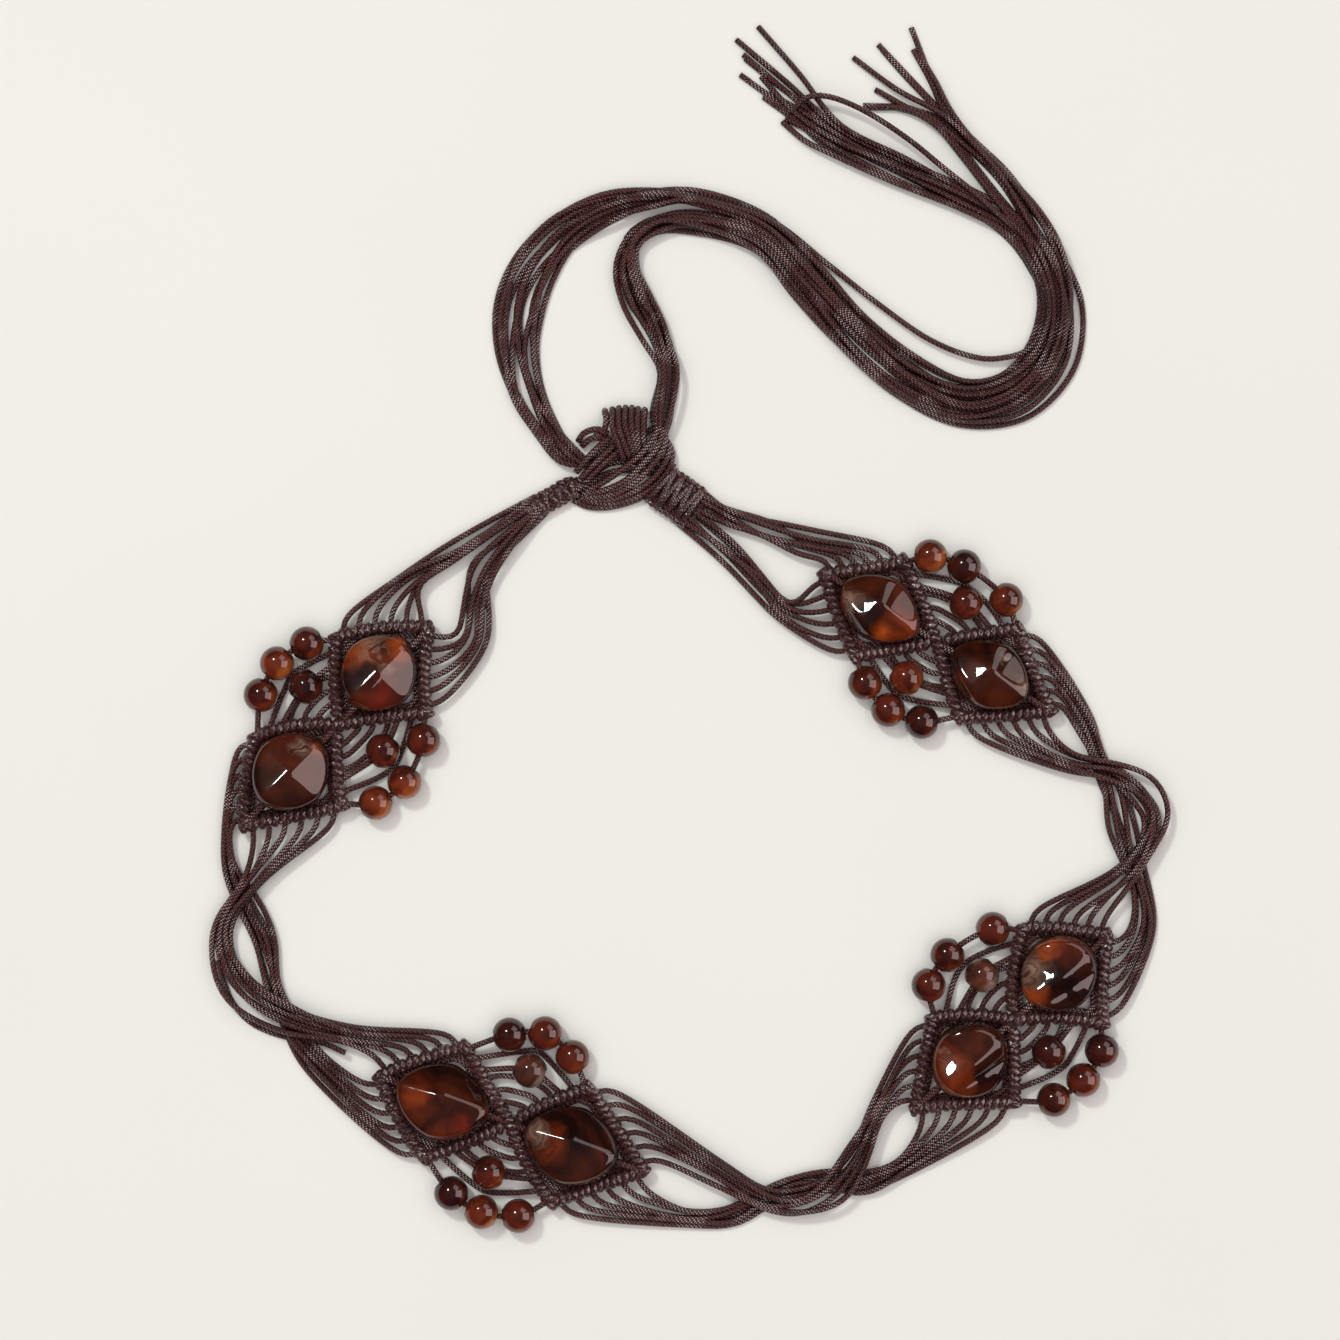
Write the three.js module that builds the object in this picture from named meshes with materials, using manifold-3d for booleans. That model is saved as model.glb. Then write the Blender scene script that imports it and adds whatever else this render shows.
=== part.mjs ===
// A knotted belt of waxed cord with resin stones and beads, lying in a closed loop on a flat
// surface. Millimetres, +Z up, the surface is Z = 0. The belt's travel goes from the sinnet on the
// left end round the loop to the wrap on the right end, and a motif's own +X is that travel.

import * as THREE from 'three';
import { mergeVertices } from 'three/addons/utils/BufferGeometryUtils.js';
import Module from 'manifold-3d';

const wasm = await Module();
wasm.setup();

// Cord and knots
const CORD_DIAMETER = 2;
const CLEARANCE = 0.3;
const KNOT_GAP = 0.4;
const ROW_WIDTH = 3.8;
const ROW_HEIGHT = 3.6;
const ROW_LIFT = 4.6;
const ROW_BOW = 0.8;
const ROW_SIDES = 6;
const CORNER_DIAMETER = 4.4;
const CROSSING_DIAMETER = 6.4;
const CROSSING_HEIGHT = 4.2;
const CROSSING_SIDES = 8;

// Diamonds, corner to corner along the belt and across it
const DIAMOND_LENGTH = 40;
const DIAMOND_WIDTH = 35;

// Stones
const STONE_LENGTH = 26;
const STONE_WIDTH = 22;
const STONE_THICKNESS = 13.6;
const STONE_TWIST_DEG = 28;
const CORE_DIAMETER = 2.8;
const BORE_DIAMETER = 4;
const BORE_SIDES = 8;

// Beads
const BEAD_DIAMETER = 10.4;
const BEAD_HOLE = 3.6;
const BEAD_SIDES = 10;
const BEAD_BAND_SHARE = 0.36;
const NEST_CLEARANCE = 0.45;

// The laid loop and its closing end
const LOOP_WIDTH = 288;
const LOOP_DEPTH = 230;
const STRANDS_PER_GROUP = 6;
const STRAND_STUB = 2.4;
const WRAP_WIDTH = 13.4;
const WRAP_THICKNESS = 6;
const WRAP_LENGTH = 13;
const SINNET_WIDTH = 7;
const SINNET_THICKNESS = 4.6;
const SINNET_LENGTH = 17;
const SINNET_KNOTS = 5;

// The loose ends, from the tie knot to the tips of the tassel
const TAIL_SPAN = 133;
const TAIL_RISE = 129;
const KNOT_SPAN = 30;
const LOCK_DIAMETER = 2.8;

// The motifs' centres as shares of half the loop's width and depth, and their travel.
const MOTIFS = [
  { name: 'motif_1', x: -0.722, y: 0.344, travelDeg: 226.8 },
  { name: 'motif_2', x: -0.364, y: -0.691, travelDeg: -19.9 },
  { name: 'motif_3', x: 0.68, y: -0.423, travelDeg: 41.9 },
  { name: 'motif_4', x: 0.522, y: 0.561, travelDeg: 148.5 },
];

// Each motif's two tips and four side corners: along as a share of a diamond's length, out as a
// share of its half width. Inner is the side that faces the waist.
const CORNERS = [
  {
    entryTip: { along: -1.0 }, exitTip: { along: 1.03 },
    entryInner: { along: -0.52, out: 0.97 }, entryOuter: { along: -0.47, out: 1.06 },
    exitInner: { along: 0.42, out: 1.0 }, exitOuter: { along: 0.49, out: 0.9 },
  },
  {
    entryTip: { along: -1.04 }, exitTip: { along: 1.06 },
    entryInner: { along: -0.51, out: 0.97 }, entryOuter: { along: -0.52, out: 1.07 },
    exitInner: { along: 0.46, out: 1.03 }, exitOuter: { along: 0.49, out: 1.04 },
  },
  {
    entryTip: { along: -0.99 }, exitTip: { along: 0.95 },
    entryInner: { along: -0.44, out: 0.95 }, entryOuter: { along: -0.41, out: 1.08 },
    exitInner: { along: 0.52, out: 1.06 }, exitOuter: { along: 0.48, out: 1.09 },
  },
  {
    entryTip: { along: -1.0 }, exitTip: { along: 0.99 },
    entryInner: { along: -0.44, out: 0.92 }, entryOuter: { along: -0.47, out: 0.93 },
    exitInner: { along: 0.47, out: 0.95 }, exitOuter: { along: 0.53, out: 0.9 },
  },
];

// The beads of each notch. Lengths are shares of a bead's diameter: slide is the middle outer
// bead's shift along the belt, nest the inner bead's, rise and lean what they stand out further
// than they must, before and after the room between the outer beads. The dips are degrees.
const NOTCHES = [
  {
    motif: 1, side: 'outer', slide: -0.1, nest: -0.18, lean: 0.13,
    rise: 0.02, before: 0, after: 0, dipBefore: 13, dipAfter: 16,
  },
  {
    motif: 1, side: 'inner', slide: -0.12, nest: -0.35, lean: 0,
    rise: 0.06, before: 0.3, after: 0, dipBefore: 19, dipAfter: 11,
  },
  {
    motif: 2, side: 'inner', slide: 0.06, nest: 0.01, lean: 0.46,
    rise: 0.12, before: 0, after: 0.02, dipBefore: 22, dipAfter: 21,
  },
  {
    motif: 2, side: 'outer', slide: 0.09, nest: -0.1, lean: 0.35,
    rise: 0.12, before: 0, after: 0.04, dipBefore: 12, dipAfter: 14,
  },
  {
    motif: 3, side: 'inner', slide: -0.15, nest: 0.2, lean: 0.14,
    rise: 0.12, before: 0, after: 0.48, dipBefore: 16, dipAfter: 12,
  },
  {
    motif: 3, side: 'outer', slide: 0.36, nest: 0.16, lean: 0.02,
    rise: 0.24, before: 0, after: 0, dipBefore: 8, dipAfter: 20,
  },
  {
    motif: 4, side: 'inner', slide: 0.17, nest: 0.2, lean: 0.02,
    rise: 0.02, before: 0, after: 0, dipBefore: 12, dipAfter: 18,
  },
  {
    motif: 4, side: 'outer', slide: 0.46, nest: -0.12, lean: 0.14,
    rise: 0, before: 0.52, after: 0, dipBefore: 7, dipAfter: 15,
  },
];

// The free strands between the motifs, one row for each place that a group of six passes: x and
// y as shares of half the loop's width and depth, lift in cords above the surface, half its width
// in cords.
const RUNS = [
  {
    name: 'run_12', from: 1, to: 2,
    inner: [
      { x: -0.9, y: -0.06, lift: 1.1, half: 1.9 },
      { x: -0.965, y: -0.19, lift: 0.7, half: 2 },
      { x: -0.93, y: -0.33, lift: 0.9, half: 2.2 },
      { x: -0.83, y: -0.415, lift: 1.1, half: 2.3 },
      { x: -0.7, y: -0.46, lift: 1.1, half: 2 },
    ],
    outer: [
      { x: -0.95, y: -0.02, lift: 0.2, half: 1.5 },
      { x: -0.915, y: -0.12, lift: 0, half: 1.8 },
      { x: -0.875, y: -0.22, lift: 0, half: 2.1 },
      { x: -0.855, y: -0.33, lift: 0, half: 2.1 },
      { x: -0.82, y: -0.44, lift: 0, half: 1.9 },
      { x: -0.775, y: -0.53, lift: 0.1, half: 1.9 },
    ],
  },
  {
    name: 'run_23', from: 2, to: 3,
    inner: [
      { x: 0.07, y: -0.82, lift: 1.1, half: 2 },
      { x: 0.16, y: -0.89, lift: 1.1, half: 2 },
      { x: 0.235, y: -0.905, lift: 1, half: 1.9 },
      { x: 0.305, y: -0.86, lift: 1.1, half: 2 },
      { x: 0.355, y: -0.77, lift: 1.1, half: 1.9 },
      { x: 0.4, y: -0.66, lift: 1.1, half: 1.7 },
    ],
    outer: [
      { x: 0.01, y: -0.94, lift: 0.2, half: 1.6 },
      { x: 0.1, y: -0.93, lift: 0, half: 1.6 },
      { x: 0.17, y: -0.88, lift: 0, half: 1.6 },
      { x: 0.245, y: -0.85, lift: 0, half: 1.6 },
      { x: 0.31, y: -0.85, lift: 0, half: 1.6 },
      { x: 0.375, y: -0.85, lift: 0, half: 1.9 },
      { x: 0.45, y: -0.81, lift: 0.2, half: 2 },
    ],
  },
  {
    name: 'run_34', from: 3, to: 4,
    inner: [
      { x: 0.91, y: -0.05, lift: 1.1, half: 2 },
      { x: 0.955, y: 0.03, lift: 1.1, half: 2 },
      { x: 0.975, y: 0.11, lift: 0.8, half: 1.7 },
      { x: 0.95, y: 0.18, lift: 1.1, half: 2 },
      { x: 0.89, y: 0.23, lift: 1.1, half: 1.9 },
      { x: 0.8, y: 0.245, lift: 1.1, half: 1.8 },
    ],
    outer: [
      { x: 0.95, y: -0.19, lift: 0.2, half: 1.9 },
      { x: 0.95, y: -0.09, lift: 0, half: 1.8 },
      { x: 0.93, y: 0.0, lift: 0, half: 1.7 },
      { x: 0.905, y: 0.09, lift: 0, half: 1.7 },
      { x: 0.885, y: 0.18, lift: 0, half: 1.7 },
      { x: 0.855, y: 0.27, lift: 0, half: 1.8 },
      { x: 0.835, y: 0.34, lift: 0.2, half: 1.7 },
    ],
  },
];
const RUN_START = {
  name: 'run_start', to: 1,
  inner: [
    { x: -0.385, y: 0.81, lift: 0.6, half: 1.5 },
    { x: -0.42, y: 0.75, lift: 0.5, half: 2.1 },
    { x: -0.432, y: 0.655, lift: 0.6, half: 2.5 },
    { x: -0.445, y: 0.565, lift: 0.8, half: 2.5 },
  ],
  outer: [
    { x: -0.43, y: 0.825, lift: 0.5, half: 1.5 },
    { x: -0.5, y: 0.78, lift: 0.5, half: 1.7 },
    { x: -0.57, y: 0.72, lift: 0.8, half: 2 },
  ],
};
const RUN_END = {
  name: 'run_end', from: 4,
  inner: [
    { x: 0.21, y: 0.64, lift: 0.8, half: 2 },
    { x: 0.15, y: 0.72, lift: 0.5, half: 2 },
    { x: 0.09, y: 0.8, lift: 0.4, half: 1.8 },
  ],
  outer: [
    { x: 0.25, y: 0.82, lift: 0.8, half: 2.2 },
    { x: 0.16, y: 0.86, lift: 0.5, half: 2 },
    { x: 0.1, y: 0.885, lift: 0.4, half: 1.8 },
  ],
};

// The ties at the top of the loop: where the wrap and the sinnet face their strands, and the
// directions in which they run to the knot.
const WRAP_FACE = { x: 0.02, y: 0.908, travelDeg: 146 };
const SINNET_FACE = { x: -0.335, y: 0.897, travelDeg: 28 };
const KNOT_CENTRE = { x: -0.105, y: 1.045 };

// The knot's bands, as shares of the knot's span from its centre. Lift and halves in cords.
const KNOT_BANDS = [
  {
    name: 'base', half: 2, tall: 1.3,
    places: [
      { x: 0.3, y: -0.24, lift: 0 },
      { x: 0.05, y: -0.08, lift: 0 },
      { x: -0.25, y: -0.04, lift: 0 },
      { x: -0.55, y: -0.24, lift: 0 },
    ],
  },
  {
    name: 'sweep', half: 2.3, tall: 1.7,
    places: [
      { x: -0.5, y: -0.2, lift: 1.2 },
      { x: -0.32, y: -0.35, lift: 0.7 },
      { x: -0.04, y: -0.32, lift: 0.6 },
      { x: 0.18, y: -0.12, lift: 0.8 },
      { x: 0.24, y: 0.12, lift: 0.7 },
      { x: 0.12, y: 0.3, lift: 0.3 },
    ],
  },
  {
    name: 'arch', half: 2.7, tall: 1.5,
    places: [
      { x: -0.13, y: 0.46, lift: 0.2 },
      { x: -0.11, y: 0.38, lift: 1.5 },
      { x: -0.04, y: 0.18, lift: 2.4 },
      { x: 0.02, y: 0, lift: 1.8 },
      { x: 0.08, y: -0.16, lift: 0.8 },
    ],
  },
  {
    name: 'cross', half: 1.8, tall: 1.3,
    places: [
      { x: -0.56, y: -0.2, lift: 1.4 },
      { x: -0.44, y: 0, lift: 1.7 },
      { x: -0.3, y: 0.13, lift: 1.7 },
      { x: -0.08, y: 0.18, lift: 1.4 },
    ],
  },
];

// The loose ends as shares of the tail's span and rise from the knot's centre. Half widths in
// cords.
const TAIL_LEFT = [
  { x: -0.15, y: 0, half: 2 },
  { x: -0.205, y: 0.065, half: 2.6 },
  { x: -0.245, y: 0.15, half: 3.1 },
  { x: -0.263, y: 0.25, half: 3.3 },
  { x: -0.26, y: 0.35, half: 3.2 },
  { x: -0.23, y: 0.44, half: 3 },
  { x: -0.16, y: 0.52, half: 2.6 },
  { x: -0.06, y: 0.575, half: 2.2 },
  { x: 0.04, y: 0.6, half: 1.8 },
  { x: 0.12, y: 0.603, half: 1.6 },
  { x: 0.19, y: 0.598, half: 1.6 },
];
const TAIL_RIGHT = [
  { x: 0.062, y: 0.09, half: 1.5 },
  { x: 0.075, y: 0.2, half: 1.7 },
  { x: 0.055, y: 0.28, half: 2 },
  { x: 0.01, y: 0.37, half: 1.9 },
  { x: -0.015, y: 0.44, half: 1.7 },
  { x: -0.005, y: 0.5, half: 1.5 },
  { x: 0.045, y: 0.54, half: 1.4 },
  { x: 0.115, y: 0.547, half: 1.4 },
  { x: 0.19, y: 0.528, half: 1.4 },
];
const MERGE_TRAVEL_DEG = -6;
const TAIL_MAIN = [
  { x: 0.195, y: 0.563, half: 3.2 },
  { x: 0.285, y: 0.52, half: 3.3 },
  { x: 0.39, y: 0.405, half: 3.5 },
  { x: 0.485, y: 0.295, half: 3.7 },
  { x: 0.61, y: 0.185, half: 3.8 },
  { x: 0.74, y: 0.125, half: 3.6 },
  { x: 0.85, y: 0.15, half: 3.6 },
  { x: 0.925, y: 0.235, half: 3.3 },
  { x: 0.95, y: 0.35, half: 3 },
  { x: 0.92, y: 0.465, half: 3.3 },
];
const TASSEL_GROUPS = [
  {
    strands: 12,
    places: [
      { x: 0.92, y: 0.455, half: 1.9 },
      { x: 0.85, y: 0.53, half: 2.2 },
      { x: 0.75, y: 0.59, half: 2.5 },
      { x: 0.6, y: 0.665, half: 2.6 },
      { x: 0.45, y: 0.745, half: 2.6 },
    ],
    locks: [
      { x: 0.285, y: 0.995 },
      { x: 0.23, y: 0.96 },
      { x: 0.245, y: 0.93 },
      { x: 0.235, y: 0.885 },
      { x: 0.29, y: 0.83 },
      { x: 0.33, y: 0.775 },
    ],
  },
  {
    strands: 12,
    places: [
      { x: 0.93, y: 0.455, half: 1.9 },
      { x: 0.895, y: 0.545, half: 2.2 },
      { x: 0.825, y: 0.64, half: 2.4 },
      { x: 0.755, y: 0.715, half: 2.5 },
      { x: 0.69, y: 0.785, half: 2.5 },
    ],
    locks: [
      { x: 0.49, y: 0.925 },
      { x: 0.55, y: 0.95 },
      { x: 0.62, y: 0.99 },
      { x: 0.625, y: 0.94 },
      { x: 0.545, y: 0.85 },
      { x: 0.515, y: 0.81 },
    ],
  },
];

const WAXED_CORD = new THREE.MeshStandardMaterial({ color: 0x3d2c2a, roughness: 0.5, metalness: 0 });
const AMBER_RESIN = new THREE.MeshStandardMaterial({ color: 0x6a1d10, roughness: 0.12, metalness: 0 });
const SWIRLED_RESIN = new THREE.MeshStandardMaterial({ color: 0x55231a, roughness: 0.12, metalness: 0 });

const belt = new THREE.Group();

// Solids from geometries and back

function solidOf(geometry) {
  geometry.deleteAttribute('normal');
  geometry.deleteAttribute('uv');
  const merged = mergeVertices(geometry, WELD_TOLERANCE);
  return new wasm.Manifold(new wasm.Mesh({
    numProp: 3,
    vertProperties: new Float32Array(merged.attributes.position.array),
    triVerts: new Uint32Array(merged.index.array),
  }));
}

const WELD_TOLERANCE = 0.0001;

function geometryOf(solid) {
  const mesh = solid.getMesh();
  const geometry = new THREE.BufferGeometry();
  geometry.setAttribute('position', new THREE.BufferAttribute(mesh.vertProperties, 3));
  geometry.setIndex(new THREE.BufferAttribute(mesh.triVerts, 1));
  geometry.computeVertexNormals();
  return geometry;
}

function joined(solids) {
  return wasm.Manifold.union(solids).asOriginal().simplify(JOIN_TOLERANCE);
}

const JOIN_TOLERANCE = 0.05;

function addPiece(parent, name, solid, material) {
  const mesh = new THREE.Mesh(geometryOf(solid), material);
  mesh.name = name;
  parent.add(mesh);
  return mesh;
}

// Sections, from -1 to 1 both ways

function roundOutline(sides) {
  const corners = [];
  for (let i = 0; i < sides; i += 1) {
    const angle = ((i + 0.5) / sides) * 2 * Math.PI;
    corners.push(new THREE.Vector2(Math.cos(angle), Math.sin(angle)));
  }
  return corners;
}

function bandOutline() {
  const flat = 0.7;
  const edge = 0.35;
  return [
    new THREE.Vector2(1, -edge), new THREE.Vector2(1, edge),
    new THREE.Vector2(flat, 1), new THREE.Vector2(-flat, 1),
    new THREE.Vector2(-1, edge), new THREE.Vector2(-1, -edge),
    new THREE.Vector2(-flat, -1), new THREE.Vector2(flat, -1),
  ];
}

function bundleOutline() {
  const flat = 0.8;
  return [
    new THREE.Vector2(1, 0), new THREE.Vector2(flat, 1), new THREE.Vector2(-flat, 1),
    new THREE.Vector2(-1, 0), new THREE.Vector2(-flat, -1), new THREE.Vector2(flat, -1),
  ];
}

function strandOutline() {
  return [
    new THREE.Vector2(1, 0), new THREE.Vector2(0, 1),
    new THREE.Vector2(-1, 0), new THREE.Vector2(0, -1),
  ];
}

const STRAND_OUTLINE = strandOutline();
const BUNDLE_OUTLINE = bundleOutline();
const ROW_OUTLINE = roundOutline(ROW_SIDES);
const BORE_OUTLINE = roundOutline(BORE_SIDES);
const BAND_OUTLINE = bandOutline();
const STONE_OUTLINE = bandOutline();

// A prism whose rings stand across a line of places. Each place may have its own half sizes and
// roll, and an end place its own travel. Sections stay level unless they are rolled, and a ring at
// a corner is widened as a mitre is.
function sweep(places, outline) {
  const steps = places.length - 1;
  const shape = new THREE.Shape(outline);
  const prism = new THREE.ExtrudeGeometry(shape, { depth: steps, steps, bevelEnabled: false });
  const rings = places.map((place, i) => {
    const before = places[Math.max(i - 1, 0)].at;
    const after = places[Math.min(i + 1, steps)].at;
    const arrive = new THREE.Vector3().subVectors(place.at, before).normalize();
    const leave = new THREE.Vector3().subVectors(after, place.at).normalize();
    const ahead = place.ahead ?? new THREE.Vector3().addVectors(arrive, leave).normalize();
    const side = new THREE.Vector3(0, 0, 1).cross(ahead).normalize();
    const up = new THREE.Vector3().crossVectors(ahead, side);
    const inside = i > 0 && i < steps;
    const mitre = inside ? 1 / Math.max(arrive.dot(ahead), MITRE_LIMIT) : 1;
    return { side, up, mitre };
  });
  const position = prism.attributes.position;
  for (let i = 0; i < position.count; i += 1) {
    const step = Math.round(position.getZ(i));
    const { at, roll = 0, halfWidth, halfHeight } = places[step];
    const { side, up, mitre } = rings[step];
    const x = position.getX(i) * halfWidth * mitre;
    const y = position.getY(i) * halfHeight;
    const point = at.clone()
      .addScaledVector(side, x * Math.cos(roll) - y * Math.sin(roll))
      .addScaledVector(up, x * Math.sin(roll) + y * Math.cos(roll));
    position.setXYZ(i, point.x, point.y, point.z);
  }
  return solidOf(prism);
}

const MITRE_LIMIT = 0.6;

function smoothPoints(points, steps) {
  return new THREE.CatmullRomCurve3(points, false, 'centripetal').getSpacedPoints(steps);
}

function cordAlong(points, diameter, outline) {
  const half = diameter / 2;
  return sweep(points.map((at) => ({ at, halfWidth: half, halfHeight: half })), outline);
}

// A strand or lock that is thinner at one end, where it joins others
function taperedAlong(points, diameter, firstShare, lastShare) {
  const last = points.length - 1;
  return sweep(points.map((at, i) => {
    const half = (THREE.MathUtils.lerp(firstShare, lastShare, i / last) * diameter) / 2;
    return { at, halfWidth: half, halfHeight: half };
  }), STRAND_OUTLINE);
}

// A flat bundle of strands on a smooth line through its stations. It rests at its station's lift
// above the surface, and is as thick as its strands need at that width.
function bandAlong(stations, strands, steps, grow = 0) {
  const route = new THREE.CatmullRomCurve3(stations.map((station) => station.at), false, 'centripetal');
  const last = stations.length - 1;
  const places = [];
  for (let i = 0; i <= steps; i += 1) {
    const share = i / steps;
    const along = share * last;
    const from = stations[Math.min(Math.floor(along), last - 1)];
    const to = stations[Math.min(Math.floor(along) + 1, last)];
    const part = along - Math.min(Math.floor(along), last - 1);
    const halfWidth = THREE.MathUtils.lerp(from.half, to.half, part);
    const halfHeight = bandHalfHeight(halfWidth, strands);
    const at = route.getPoint(share);
    at.z = THREE.MathUtils.lerp(from.lift, to.lift, part) + halfHeight;
    places.push({ at, halfWidth: halfWidth + grow, halfHeight: halfHeight + grow });
  }
  places[0].ahead = stations[0].ahead;
  places[steps].ahead = stations[last].ahead;
  return sweep(places, BUNDLE_OUTLINE);
}

const BAND_PACKING = 0.9;
const LEAST_LAYERS = 1.1;

function bandHalfHeight(halfWidth, strands) {
  const layers = (strands * CORD_DIAMETER * BAND_PACKING) / (2 * halfWidth);
  return (Math.max(layers, LEAST_LAYERS) * CORD_DIAMETER) / 2;
}

// Places in the laid loop

function loopPoint(place, z = 0) {
  return new THREE.Vector3((place.x * LOOP_WIDTH) / 2, (place.y * LOOP_DEPTH) / 2, z);
}

function direction(degrees) {
  const angle = THREE.MathUtils.degToRad(degrees);
  return new THREE.Vector3(Math.cos(angle), Math.sin(angle), 0);
}

// The stone: a rounded box that turns about its length, with a hole for the core cord

const STONE_RINGS = [
  { along: -1, swell: 0.32 },
  { along: -0.72, swell: 0.78 },
  { along: -0.3, swell: 1 },
  { along: 0.3, swell: 1 },
  { along: 0.72, swell: 0.78 },
  { along: 1, swell: 0.32 },
];

function stoneSolid() {
  const places = STONE_RINGS.map(({ along, swell }) => ({
    at: new THREE.Vector3((along * STONE_LENGTH) / 2, 0, 0),
    halfWidth: (swell * STONE_WIDTH) / 2,
    halfHeight: (swell * STONE_THICKNESS) / 2,
    roll: THREE.MathUtils.degToRad(STONE_TWIST_DEG) * along,
  }));
  const bore = cordAlong(
    [new THREE.Vector3(-STONE_LENGTH, 0, 0), new THREE.Vector3(STONE_LENGTH, 0, 0)],
    BORE_DIAMETER,
    BORE_OUTLINE,
  );
  return sweep(places, STONE_OUTLINE).subtract(bore);
}

const stone = stoneSolid();
const STONE_REST = -stone.boundingBox().min[2];

// The bead: a round with a wide hole

function beadSolid() {
  const radius = BEAD_DIAMETER / 2;
  const hole = BEAD_HOLE / 2;
  const end = Math.sqrt(radius * radius - hole * hole);
  const band = radius * BEAD_BAND_SHARE;
  const profile = [
    new THREE.Vector2(hole, -end),
    new THREE.Vector2(radius, -band),
    new THREE.Vector2(radius, band),
    new THREE.Vector2(hole, end),
    new THREE.Vector2(hole, -end),
  ];
  const lathe = new THREE.LatheGeometry(profile, BEAD_SIDES);
  lathe.rotateZ(Math.PI / 2);
  lathe.rotateX(Math.PI / BEAD_SIDES);
  return solidOf(lathe);
}

const bead = beadSolid();
const BEAD_REST = -bead.boundingBox().min[2];
const BEAD_PITCH = bead.boundingBox().max[0] - bead.boundingBox().min[0] + CLEARANCE;

// One motif, in its own frame

function cornerPoint(corner, outward) {
  return new THREE.Vector3(
    corner.along * DIAMOND_LENGTH,
    ((corner.out ?? 0) * outward * DIAMOND_WIDTH) / 2,
    ROW_LIFT,
  );
}

function motifCorners(index) {
  const table = CORNERS[index];
  return {
    middle: new THREE.Vector3(0, 0, ROW_LIFT),
    entryTip: cornerPoint(table.entryTip, 1),
    exitTip: cornerPoint(table.exitTip, 1),
    entryInner: cornerPoint(table.entryInner, 1),
    entryOuter: cornerPoint(table.entryOuter, -1),
    exitInner: cornerPoint(table.exitInner, 1),
    exitOuter: cornerPoint(table.exitOuter, -1),
  };
}

function stoneCentre(corners, end) {
  const tip = corners[`${end}Tip`];
  return new THREE.Vector3((corners.middle.x + tip.x) / 2, 0, STONE_REST);
}

// A knotted row bows out as far as the stone beside it needs.
function rowMiddle(from, to, centre) {
  const middle = new THREE.Vector3().lerpVectors(from, to, 0.5);
  const ahead = new THREE.Vector3().subVectors(to, from).setZ(0).normalize();
  const out = new THREE.Vector3(ahead.y, -ahead.x, 0);
  const reach = new THREE.Vector3().subVectors(middle, centre).dot(out);
  out.multiplyScalar(Math.sign(reach));
  const stoneReach = Math.hypot((out.x * STONE_LENGTH) / 2, (out.y * STONE_WIDTH) / 2);
  const bow = Math.max(ROW_BOW, stoneReach + 2 * CLEARANCE + ROW_WIDTH / 2 - Math.abs(reach));
  return middle.addScaledVector(out, bow);
}

function knottedRow(points) {
  return sweep(
    points.map((at) => ({ at, halfWidth: ROW_WIDTH / 2, halfHeight: ROW_HEIGHT / 2 })),
    ROW_OUTLINE,
  );
}

// The knot where the rows of both diamonds cross
function crossingKnot(at) {
  const radius = CROSSING_DIAMETER / 2;
  const drum = new THREE.CylinderGeometry(radius, radius, CROSSING_HEIGHT, CROSSING_SIDES);
  drum.rotateX(Math.PI / 2);
  drum.translate(at.x, at.y, at.z);
  return solidOf(drum);
}

// How far out a bead has to lie, at a place along the belt, to clear the row on one side of its
// notch. The row is two straight stretches, and out is positive here.
function reachClearOf(row, along, way, clear) {
  const reaches = [];
  for (let i = 0; i < row.length - 1; i += 1) {
    const run = way * (row[i + 1].x - row[i].x);
    const rise = Math.abs(row[i + 1].y) - Math.abs(row[i].y);
    const length = Math.hypot(run, rise);
    reaches.push(Math.abs(row[i].y) + (clear * length + way * (along - row[i].x) * rise) / run);
  }
  return Math.max(...reaches);
}

// The beads of a notch, from the rows outwards: the inner bead clears both rows, the middle outer
// bead clears the inner one, and the beads beside it clear the diamonds' corners.
function notchBeads(notch, corners) {
  const outward = notch.side === 'inner' ? 1 : -1;
  const name = notch.side === 'inner' ? 'Inner' : 'Outer';
  const contact = BEAD_DIAMETER + NEST_CLEARANCE;
  const entry = corners[`entry${name}`];
  const exit = corners[`exit${name}`];
  const entryRow = [corners.middle, rowMiddle(corners.middle, entry, stoneCentre(corners, 'entry')), entry];
  const exitRow = [corners.middle, rowMiddle(corners.middle, exit, stoneCentre(corners, 'exit')), exit];
  const clearRow = BEAD_DIAMETER / 2 + ROW_WIDTH / 2 + CLEARANCE;
  const clearCorner = BEAD_DIAMETER / 2 + CORNER_DIAMETER / 2 + CLEARANCE;
  const nest = notch.nest * BEAD_DIAMETER;
  const innerReach = Math.max(
    reachClearOf(entryRow, nest, -1, clearRow),
    reachClearOf(exitRow, nest, 1, clearRow),
  ) + notch.lean * BEAD_DIAMETER;
  const slide = notch.slide * BEAD_DIAMETER;
  const step = Math.sqrt(Math.max(contact * contact - (slide - nest) ** 2, 0));
  const reach = innerReach + step + notch.rise * BEAD_DIAMETER;
  const neighbour = (room, dipDeg, way, corner) => {
    const dip = THREE.MathUtils.degToRad(dipDeg);
    const distance = BEAD_PITCH + 2 * CLEARANCE + room * BEAD_DIAMETER;
    const along = slide + way * distance * Math.cos(dip);
    const past = Math.sqrt(Math.max(clearCorner ** 2 - (corner.x - along) ** 2, 0));
    const out = Math.max(reach - distance * Math.sin(dip), Math.abs(corner.y) + past);
    return new THREE.Vector3(along, outward * out, BEAD_REST);
  };
  return {
    outer: [
      neighbour(notch.before, notch.dipBefore, -1, entry),
      new THREE.Vector3(slide, outward * reach, BEAD_REST),
      neighbour(notch.after, notch.dipAfter, 1, exit),
    ],
    inner: new THREE.Vector3(nest, outward * innerReach, BEAD_REST),
  };
}

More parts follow.
